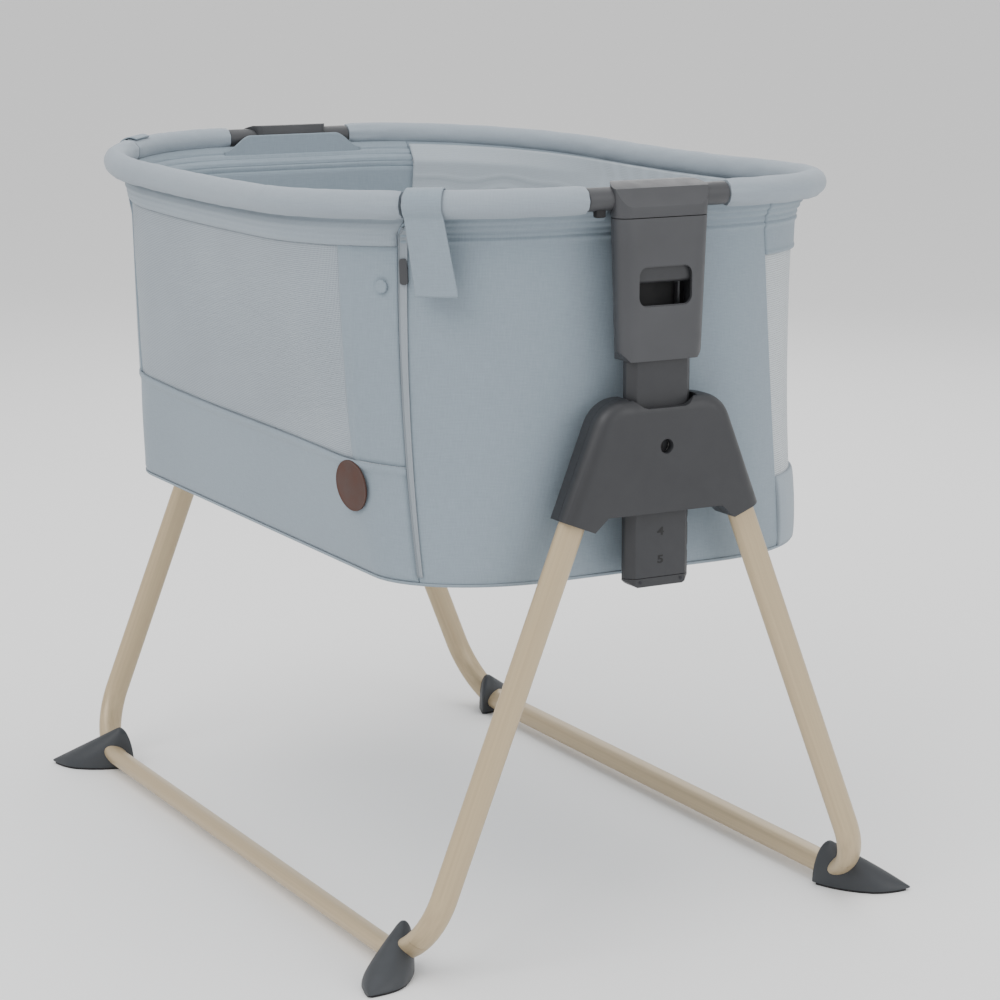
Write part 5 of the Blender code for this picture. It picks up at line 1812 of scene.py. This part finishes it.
    def mesh_side(self) -> None:
        """Build the mesh side: sheer cloth between a padded lower band and a bound upper band."""
        first = (self.mesh_top, self.mesh_bottom)
        last = (180.0 - self.mesh_top, 180.0 - self.mesh_bottom)
        hem, band, binding, top = FORM.bottom, self.band_top, self.upper_band, FORM.top

        def lower_proud(u: float, v: float, z: float) -> float:
            """Return the lower band's padded relief."""
            padding = 0.0030 * math.sin(math.pi * min(1.0, v * 0.98 + 0.02)) ** 0.4
            return padding + 0.0008 * rumple(u * 30, z * 20, 3.1)

        lower = self.strip("mesh_side_lower_band", first, last, hem, band, lower_proud, 170, 24)
        wall(lower, self.band_thickness)
        self.add(lower, Finish.BAND, Body.CARRIAGE, "fabric", "mesh_side")

        def upper_proud(u: float, v: float, z: float) -> float:
            """Return the upper band's relief."""
            return self.channels(z) + 0.0008 + 0.0009 * ridge(v, 0.03, 0.05)

        upper = self.strip("mesh_side_upper_band", first, last, binding, top, upper_proud, 170, 64)
        self.add(wall(upper, self.thickness), Finish.COVER, Body.CARRIAGE, "fabric")

        def sheer_proud(u: float, v: float, z: float) -> float:
            """Return the mesh's pull between its bands."""
            return -0.0016 + 0.0006 * rumple(u * 22, z * 9, 5.5)

        tuck = 0.004
        sheer = self.strip("mesh_side_sheer", first, last, band - tuck, binding + tuck, sheer_proud, 160, 40)
        self.add(wall(sheer, self.sheer_thickness), Finish.MESH, Body.CARRIAGE, "mesh_fabric")

    def inner_band(self) -> None:
        """Build the facing sewn inside the mesh side under the rim, its lower edge drawn up in waves."""
        first, last = self.mesh_top + 1.0, 179.0 - self.mesh_top

        def place(u: float, v: float) -> Vector:
            """Return the facing's point."""
            wave = 0.0045 * math.sin(u * 19.0) + 0.003 * math.sin(u * 41.0 + 1.0)
            z = self.facing_foot + wave * (1 - v) + (FORM.top - self.facing_foot) * v
            flat = FORM.plan(z).at(first + (last - first) * u)
            depth = 0.0072 + 0.0012 * ridge(v, 0.06, 0.09) + 0.001 * ridge(v, 0.35, 0.05)
            return FORM.settle(flat - flat.normalized() * depth, z)

        piece = wall(to_object("mesh_side_facing", patch(150, 20, place, 1.2, 0.05), 60.0), 0.0012, 0.0)
        self.add(piece, Finish.LINING, Body.CARRIAGE, "fabric")

    def drop_patch(self, name: str, low_x: float, high_x: float, low: Height, high: Height, proud: Relief,
                   columns: int, rows: int) -> Cloth:
        """Build a patch of the drop side between two places along it and two edges.

        Args:
            name: the object's name.
            low_x: where it starts, as a share of the way from the middle to a zip, negative for far.
            high_x: where it ends.
            low: its lower edge's height at a place along the tub.
            high: its upper edge's height.
            proud: from the place along, the share of its height and the height to how far it stands out.
            columns: faces along.
            rows: faces up.

        Returns:
            The open skin.
        """
        def place(u: float, v: float) -> Vector:
            """Return the patch's point."""
            share = low_x + (high_x - low_x) * u
            guess = share * self.drop_half
            z = low(guess) + (high(guess) - low(guess)) * v
            x = share * self.zip_x(z)
            step = 0.002
            run = Vector((step * 2, FORM.drop_y(x + step, z) - FORM.drop_y(x - step, z))).normalized()
            out = proud(x, v, z)
            return FORM.settle(Vector((x + run.y * out, FORM.drop_y(x, z) - run.x * out)), z)

        bm = patch(columns, rows, place, self.drop_half * (high_x - low_x), high(0.0) - low(0.0))
        face_towards(bm, bm.faces[:][len(bm.faces) // 2], (0.0, -1.0, 0.0))
        return to_object(name, bm, 60.0)

    def zip_x(self, z: float) -> float:
        """Return how far along the tub the drop side's edge lies at a height.

        Args:
            z: a height, before the rim's dip.

        Returns:
            The place along the tub.
        """
        angle = math.radians(FORM.seam(self.zip_top, self.zip_bottom, z) + self.seam_gap)
        plan = FORM.plan(z)
        return plan.half_length - plan.corner_length + plan.corner_length * math.cos(angle)

    def crease_z(self, x: float) -> float:
        """Return the height of the crease across the drop side."""
        return self.crease - 0.0170 * x + 0.0015 * math.sin(x * 11)

    def drop_side(self) -> None:
        """Build the fold-down side: padded top band, sheer window, side strips and the plain lower panel."""
        top, bottom, seam = (lambda x: FORM.top), (lambda x: FORM.bottom), (lambda x: self.band_seam)
        window = self.window_half / self.drop_half

        def lower_relief(x: float, v: float, z: float) -> float:
            """Return the lower panel's relief, with a soft roll at its crease."""
            slack = 0.0010 * rumple(x * 9, z * 12, 2.2) * smooth_step(0, 0.2, v)
            return 0.0022 * ridge(v, 0.965, 0.05) + slack + self.hem(z)

        lower = self.drop_patch("drop_side_lower_panel", -1, 1, bottom, self.crease_z, lower_relief, 130, 44)
        wall(lower, self.thickness)
        self.add(lower, Finish.COVER, Body.DROP_SIDE, "fabric", "drop_side")

        def band_relief(x: float, v: float, z: float) -> float:
            """Return the top band's padded relief."""
            puff = 0.0034 * math.sin(math.pi * min(1.0, v * 1.15)) ** 0.5 * (1 - smooth_step(0.62, 0.9, v))
            return puff + self.channels(z) * 0.4 + 0.0007 * rumple(x * 14, z * 10, 6.1)

        band = self.drop_patch("drop_side_top_band", -1, 1, seam, top, band_relief, 130, 26)
        self.add(wall(band, self.thickness), Finish.BAND, Body.DROP_SIDE, "fabric")

        def strip_relief(x: float, v: float, z: float) -> float:
            """Return the side strips' relief, bound along the window."""
            return 0.0004 + 0.0008 * ridge(abs(x), self.window_half + 0.004, 0.004)

        for side, name in ((1, "near"), (-1, "far")):
            low, high = sorted((side * window, side * 1.0))
            strip = self.drop_patch(f"drop_side_{name}_strip", low, high, self.crease_z, seam, strip_relief,
                                    26, 36)
            self.add(wall(strip, self.thickness), Finish.COVER, Body.DROP_SIDE, "fabric")

        def sheer_relief(x: float, v: float, z: float) -> float:
            """Return the window's slight slack."""
            return -0.0012 + 0.0012 * rumple(x * 7, z * 16, 9.4) * math.sin(math.pi * v)

        sheer = self.drop_patch("drop_side_window", -window - 0.01, window + 0.01,
                                lambda x: self.crease_z(x) - 0.003, lambda x: self.band_seam + 0.003,
                                sheer_relief, 110, 30)
        self.add(wall(sheer, self.sheer_thickness), Finish.WINDOW, Body.DROP_SIDE, "mesh_fabric")

    def bottom(self) -> None:
        """Build the cover's flat bottom with a rolled edge."""
        top, depth = 0.3602, 0.0032
        outline = FORM.base.walk(0.0, 360.0, 160)[:-1]
        bm = prism([(*point, top) for point in outline], (0, 0, -depth))
        rounded(bm, [e for e in bm.edges if all(v.co.z < top - depth + 0.0001 for v in e.verts)], 0.0024, 4)
        spread(bm)
        self.add(to_object("tub_bottom", bm, 60.0), Finish.COVER, Body.CARRIAGE, "fabric", "bottom_cover")

    def zip_line(self, end: End) -> None:
        """Build the zip beside the drop side: a tape and the coil of teeth along it.

        Args:
            end: the zip's end.
        """
        def line(share: float, shift: float, out: float) -> Vector:
            """Return a point beside the zip's seam, a share of the way up it."""
            z = self.zip_foot + (self.zip_head - self.zip_foot) * share
            angle = FORM.seam(self.zip_top, self.zip_bottom, z) + shift
            angle = 360.0 - angle if end is End.NEAR else 180.0 + angle
            return FORM.settle(FORM.plan(z).at(angle), z) + FORM.normal(angle, z) * out

        def tape(u: float, v: float) -> Vector:
            """Return the tape's point, raised along both edges."""
            lift = 0.0011 + 0.0007 * ridge(u, 0.08, 0.12) + 0.0006 * ridge(u, 0.9, 0.12)
            return line(v, -2.5 + 2.15 * u, lift)

        bm = patch(8, 120, tape, 0.012, 0.33)
        bmesh.ops.recalc_face_normals(bm, faces=bm.faces)
        piece = wall(to_object(f"{end.value}_zip_tape", bm, 60.0), 0.0007, 0.0)
        self.add(piece, Finish.TAPE, Body.CARRIAGE, "fabric")
        count = 2 * self.zip_teeth
        path = [line(i / count, -0.42, 0.0014) for i in range(count + 1)]

        def tooth(turn: float, share: float) -> tuple[float, float]:
            """Return the coil's section, which swells once for each tooth."""
            swell = 0.0012 + 0.0004 * math.cos(share * self.zip_teeth * 2 * math.pi)
            return swell * math.cos(turn), 0.0010 * math.sin(turn)

        bm = sweep(path, tooth, 8, Vector((end.side, 0.2, 0.1)))
        self.add(to_object(f"{end.value}_zip_coil", bm, 60.0), Finish.COIL, Body.CARRIAGE, "housing_plastic")

    def flap(self, end: End) -> None:
        """Build the strap over the rim that hides the zip's top, hemmed all round.

        Args:
            end: the strap's end.
        """
        skin = 0.0135 + 0.0020
        turns = [math.radians(degrees) for degrees in range(120, -46, -11)]
        spine = [(skin * math.cos(turn), skin * math.sin(turn)) for turn in turns]
        spine += [(0.0100, -0.024), (0.0082, -0.040), (0.0066, -0.056), (0.0048, -0.071), (0.0036, -0.0830)]
        reach = [0.0]
        for one, two in zip(spine, spine[1:]):
            reach.append(reach[-1] + math.dist(one, two))
        first, last = self.flap_angles

        def place(u: float, v: float) -> Vector:
            """Return the strap's point."""
            goal = v * reach[-1]
            index = next(i for i in range(len(spine) - 1) if goal <= reach[i + 1] + 1e-9)
            share = (goal - reach[index]) / (reach[index + 1] - reach[index])
            out, rise = (a + (b - a) * share for a, b in zip(spine[index], spine[index + 1]))
            hang = max(0.0, (v - 0.32) / 0.68)
            angle = first + (last - first) * u - hang * (3.4 - 1.5 * u)
            turn = 360.0 - angle if end is End.NEAR else 180.0 + angle
            here = FORM.rim.at(turn)
            run = (FORM.rim.at(turn + 0.5) - here).normalized()
            hem = 0.0006 * (ridge(u, 0.03, 0.06) + ridge(u, 0.97, 0.06) + ridge(v, 0.985, 0.03))
            curl = 0.0030 * hang * (0.5 - u) + 0.0010 * hang * math.sin(u * 5)
            flat = here + Vector((run.y, -run.x)) * (out + hem + curl)
            return Vector((*flat, FORM.rim_point(here).z + rise))

        bm = patch(26, 64, place, 0.047, self.flap_length)
        face_towards(bm, min(bm.faces, key=lambda f: f.calc_center_median().z), (end.side, -1.0, 0.0))
        area = sum(f.calc_area() for f in bm.faces)
        piece = wall(to_object(f"{end.value}_zip_flap", bm, 60.0), 0.0015)
        self.add(piece, Finish.COVER, Body.CARRIAGE, "fabric", f"{end.value}_corner_flap")

    def disc(self, name: str, x: float, z: float, radius: float, thickness: float, dome: float) -> Cloth:
        """Build a round button flat against the drop side.

        Args:
            name: the object's name.
            x: its place along the tub.
            z: a height, before the rim's dip.
            radius: its radius.
            thickness: how far it stands proud.
            dome: how far its face rises.

        Returns:
            The object.
        """
        y = FORM.drop_y(x, z)
        step = 0.004
        run = Vector((2 * step, FORM.drop_y(x + step, z) - FORM.drop_y(x - step, z), 0.0))
        rise = Vector((0.0, FORM.drop_y(x, z + step) - FORM.drop_y(x, z - step), 2 * step))
        normal = run.cross(rise).normalized()
        centre = FORM.settle(Vector((x, y)), z) + normal * 0.0012
        bm = rod(radius, centre, centre + normal * thickness, 72)
        crown = [f for f in bm.faces if f.normal.dot(normal) > 0.9]
        bmesh.ops.inset_region(bm, faces=crown, thickness=radius * 0.10, depth=-dome)
        bmesh.ops.inset_region(bm, faces=crown, thickness=radius * 0.06, depth=dome * 0.6)
        spread(bm)
        return to_object(name, bm, 30.0)

    def badge(self) -> None:
        """Build the plain round leather badge."""
        piece = self.disc("leather_badge", 0.262, 0.4450, 0.0246, 0.0020, 0.0003)
        soften(piece, 0.0006, 3, 50.0)
        self.add(piece, Finish.LEATHER, Body.DROP_SIDE, "leather", "round_badge")

    def snaps(self) -> None:
        """Build the cloth-covered press studs under the band."""
        for side, name in ((1, "near"), (-1, "far")):
            piece = self.disc(f"{name}_press_stud", side * 0.300, 0.6380, 0.0062, 0.0024, 0.0006)
            soften(piece, 0.0010, 3, 50.0)
            self.add(piece, Finish.COVER, Body.DROP_SIDE, "fabric")


@dataclass
class Bedding(SubAssembly):
    """The mattress on its board."""

    bottom: float = 0.3668
    height: float = 0.0434
    inset: float = 0.012
    side_share: float = 0.34
    piping: float = 0.0020

    def profile(self, v: float) -> tuple[float, float]:
        """Return the inset and the rise of the cushion's section, from its bottom edge to its middle.

        Args:
            v: 0 at the bottom edge and 1 in the middle of the top.

        Returns:
            The inset and the rise.
        """
        if v < self.side_share:
            turn = v / self.side_share
            side = 0.0022 * math.sin(math.pi * turn)
            return side + 0.010 * abs(2 * turn - 1) ** 4, (self.height - 0.0075) * (0.04 + 0.94 * turn)
        turn = (v - self.side_share) / (1 - self.side_share)
        return 0.012, self.height - 0.0078 + 0.0078 * smooth_step(0.0, 0.65, turn)

    def build(self) -> None:
        """Build the mattress: a crowned cushion, drawn in at the middle of its sides, with piped seams."""
        waist = FORM.base.inset(self.inset)
        columns, rows, share = 150, 34, self.side_share
        insets = [self.profile(row / rows)[0] for row in range(rows + 1)]
        rings = [waist.inset(inset).walk(0.0, 360.0, columns) for inset in insets]

        def place(u: float, v: float) -> Vector:
            """Return the cushion's point."""
            ring = rings[round(v * rows)][round(u * columns) % columns]
            gather = max(0.0, (v - share) / (1 - share)) ** 1.1
            x, y = ring.x * (1 - 0.60 * gather), ring.y * (1 - 0.96 * gather)
            quilt = 0.0010 * sum(ridge(math.sin(side * 42), 0.0, 0.22) for side in (x, y))
            return Vector((x, y, self.bottom + self.profile(v)[1] - quilt * smooth_step(share, 0.42, v)))

        bm = close(patch(columns, rows, place, 1.9, 0.30))
        spread(bm)
        piece = to_object("mattress_cushion", bm, 60.0)
        self.add(piece, Finish.TICKING, Body.CARRIAGE, "ticking", "mattress")
        for v, name in ((0.30, "upper"), (0.03, "lower")):
            inset, rise = self.profile(v)
            path = [Vector((*point, self.bottom + rise))
                    for point in waist.inset(inset - 0.0012).walk(0.0, 360.0, 160)]
            bm = sweep(path, ellipse(self.piping, self.piping), 10, None, False)
            self.add(to_object(f"mattress_{name}_piping", bm, 60.0), Finish.LINING, Body.CARRIAGE, "ticking")


@dataclass
class Studio:
    """Camera, soft light and a pale floor."""

    lens: float = 101.2
    place: tuple[float, float, float] = (2.5903, -1.3584, 0.9638)
    right: tuple[float, float, float] = (0.4803, 0.8771, 0.0)
    up: tuple[float, float, float] = (-0.1780, 0.0975, 0.9792)
    lights: tuple[tuple[str, tuple[float, float, float], float, float], ...] = (
        ("key", (1.2, -2.4, 3.0), 2.2, 62.0), ("fill", (3.2, 1.6, 1.8), 2.4, 34.0),
        ("top", (-0.2, 0.1, 3.2), 3.0, 44.0), ("back", (-2.4, 1.8, 2.2), 2.0, 22.0))
    aim: tuple[float, float, float] = (0.0, 0.0, 0.45)
    ambient: float = 0.95

    def build(self) -> None:
        """Build the camera, the floor, the lights and the even light all round."""
        self.camera()
        self.floor()
        for name, place, size, power in self.lights:
            self.light(name, place, size, power)
        world = bpy.data.worlds.new("studio")
        world.use_nodes = True
        shader = world.node_tree.nodes["Background"]
        shader.inputs["Color"].default_value = (1.0, 1.0, 1.0, 1.0)
        shader.inputs["Strength"].default_value = self.ambient
        bpy.context.scene.world = world

    def camera(self) -> None:
        """Build the camera at the photograph's view."""
        data = bpy.data.cameras.new("view")
        data.lens = self.lens
        data.sensor_width = 36.0
        data.clip_end = 50.0
        camera = bpy.data.objects.new("view", data)
        bpy.context.scene.collection.objects.link(camera)
        right, up = Vector(self.right).normalized(), Vector(self.up).normalized()
        back = right.cross(up).normalized()
        matrix = Matrix((right, back.cross(right).normalized(), back)).transposed().to_4x4()
        matrix.translation = Vector(self.place)
        camera.matrix_world = matrix
        bpy.context.scene.camera = camera

    def floor(self) -> None:
        """Build the floor."""
        bm = bmesh.new()
        bmesh.ops.create_grid(bm, x_segments=1, y_segments=1, size=30.0)
        floor = to_object("studio_floor", bm)
        paint = Nodes("pale_floor")
        paint.fill(paint.shader, {"Base Color": (0.92, 0.92, 0.92, 1.0), "Roughness": 0.9})
        floor.data.materials.append(paint.material)

    def light(self, name: str, place: Sequence[float], size: float, power: float) -> None:
        """Add a soft area light aimed at the tub.

        Args:
            name: the lamp's name.
            place: where it stands.
            size: its side in metres.
            power: in watts.
        """
        data = bpy.data.lights.new(name, "AREA")
        data.shape = "SQUARE"
        data.size = size
        data.energy = power
        lamp = bpy.data.objects.new(name, data)
        bpy.context.scene.collection.objects.link(lamp)
        lamp.location = place
        lamp.rotation_euler = (Vector(self.aim) - Vector(place)).to_track_quat("-Z", "Y").to_euler()


@dataclass
class FrameNodes:
    """The frame's own nodes that show a little and keep their shape."""

    end_finishes: tuple[tuple[str, Finish], ...] = (
        ("rail_guide", Finish.GUIDE), ("bolt_spring", Finish.STEEL), ("lever_spring", Finish.STEEL),
        ("lock_bolt", Finish.STEEL), ("release_strip", Finish.STEEL), ("zip_pull", Finish.POD))
    tub_finishes: tuple[tuple[str, Finish], ...] = (
        ("rim_hoop", Finish.STEEL), ("drop_bar", Finish.STEEL), ("base_board", Finish.BOARD))

    def build(self, nodes: dict[str, Cloth]) -> None:
        """Dress the nodes that stay.

        Args:
            nodes: the frame's objects by name.
        """
        for name, finish in self.end_finishes:
            for end in End:
                dress(nodes[f"{end.value}_{name}"], finish)
        for name, finish in self.tub_finishes:
            dress(nodes[name], finish)


def main() -> None:
    """Build the bassinet and its studio."""
    logging.basicConfig(level=logging.INFO, format="%(message)s")
    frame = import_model()
    Studio().build()
    FrameNodes().build(frame["nodes"])
    stand = Stand()
    stand.build()
    total = len(stand.pieces)
    for end in End:
        for assembly in (EndHousing(end=end, stand=stand), Rail(end=end), Pod(end=end)):
            assembly.build()
            total += len(assembly.pieces)
    for assembly in (PaddedRim(), TubWalls(), Bedding()):
        assembly.build()
        total += len(assembly.pieces)
    LOG.info("%d pieces", total)


if __name__ == "__main__":
    main()
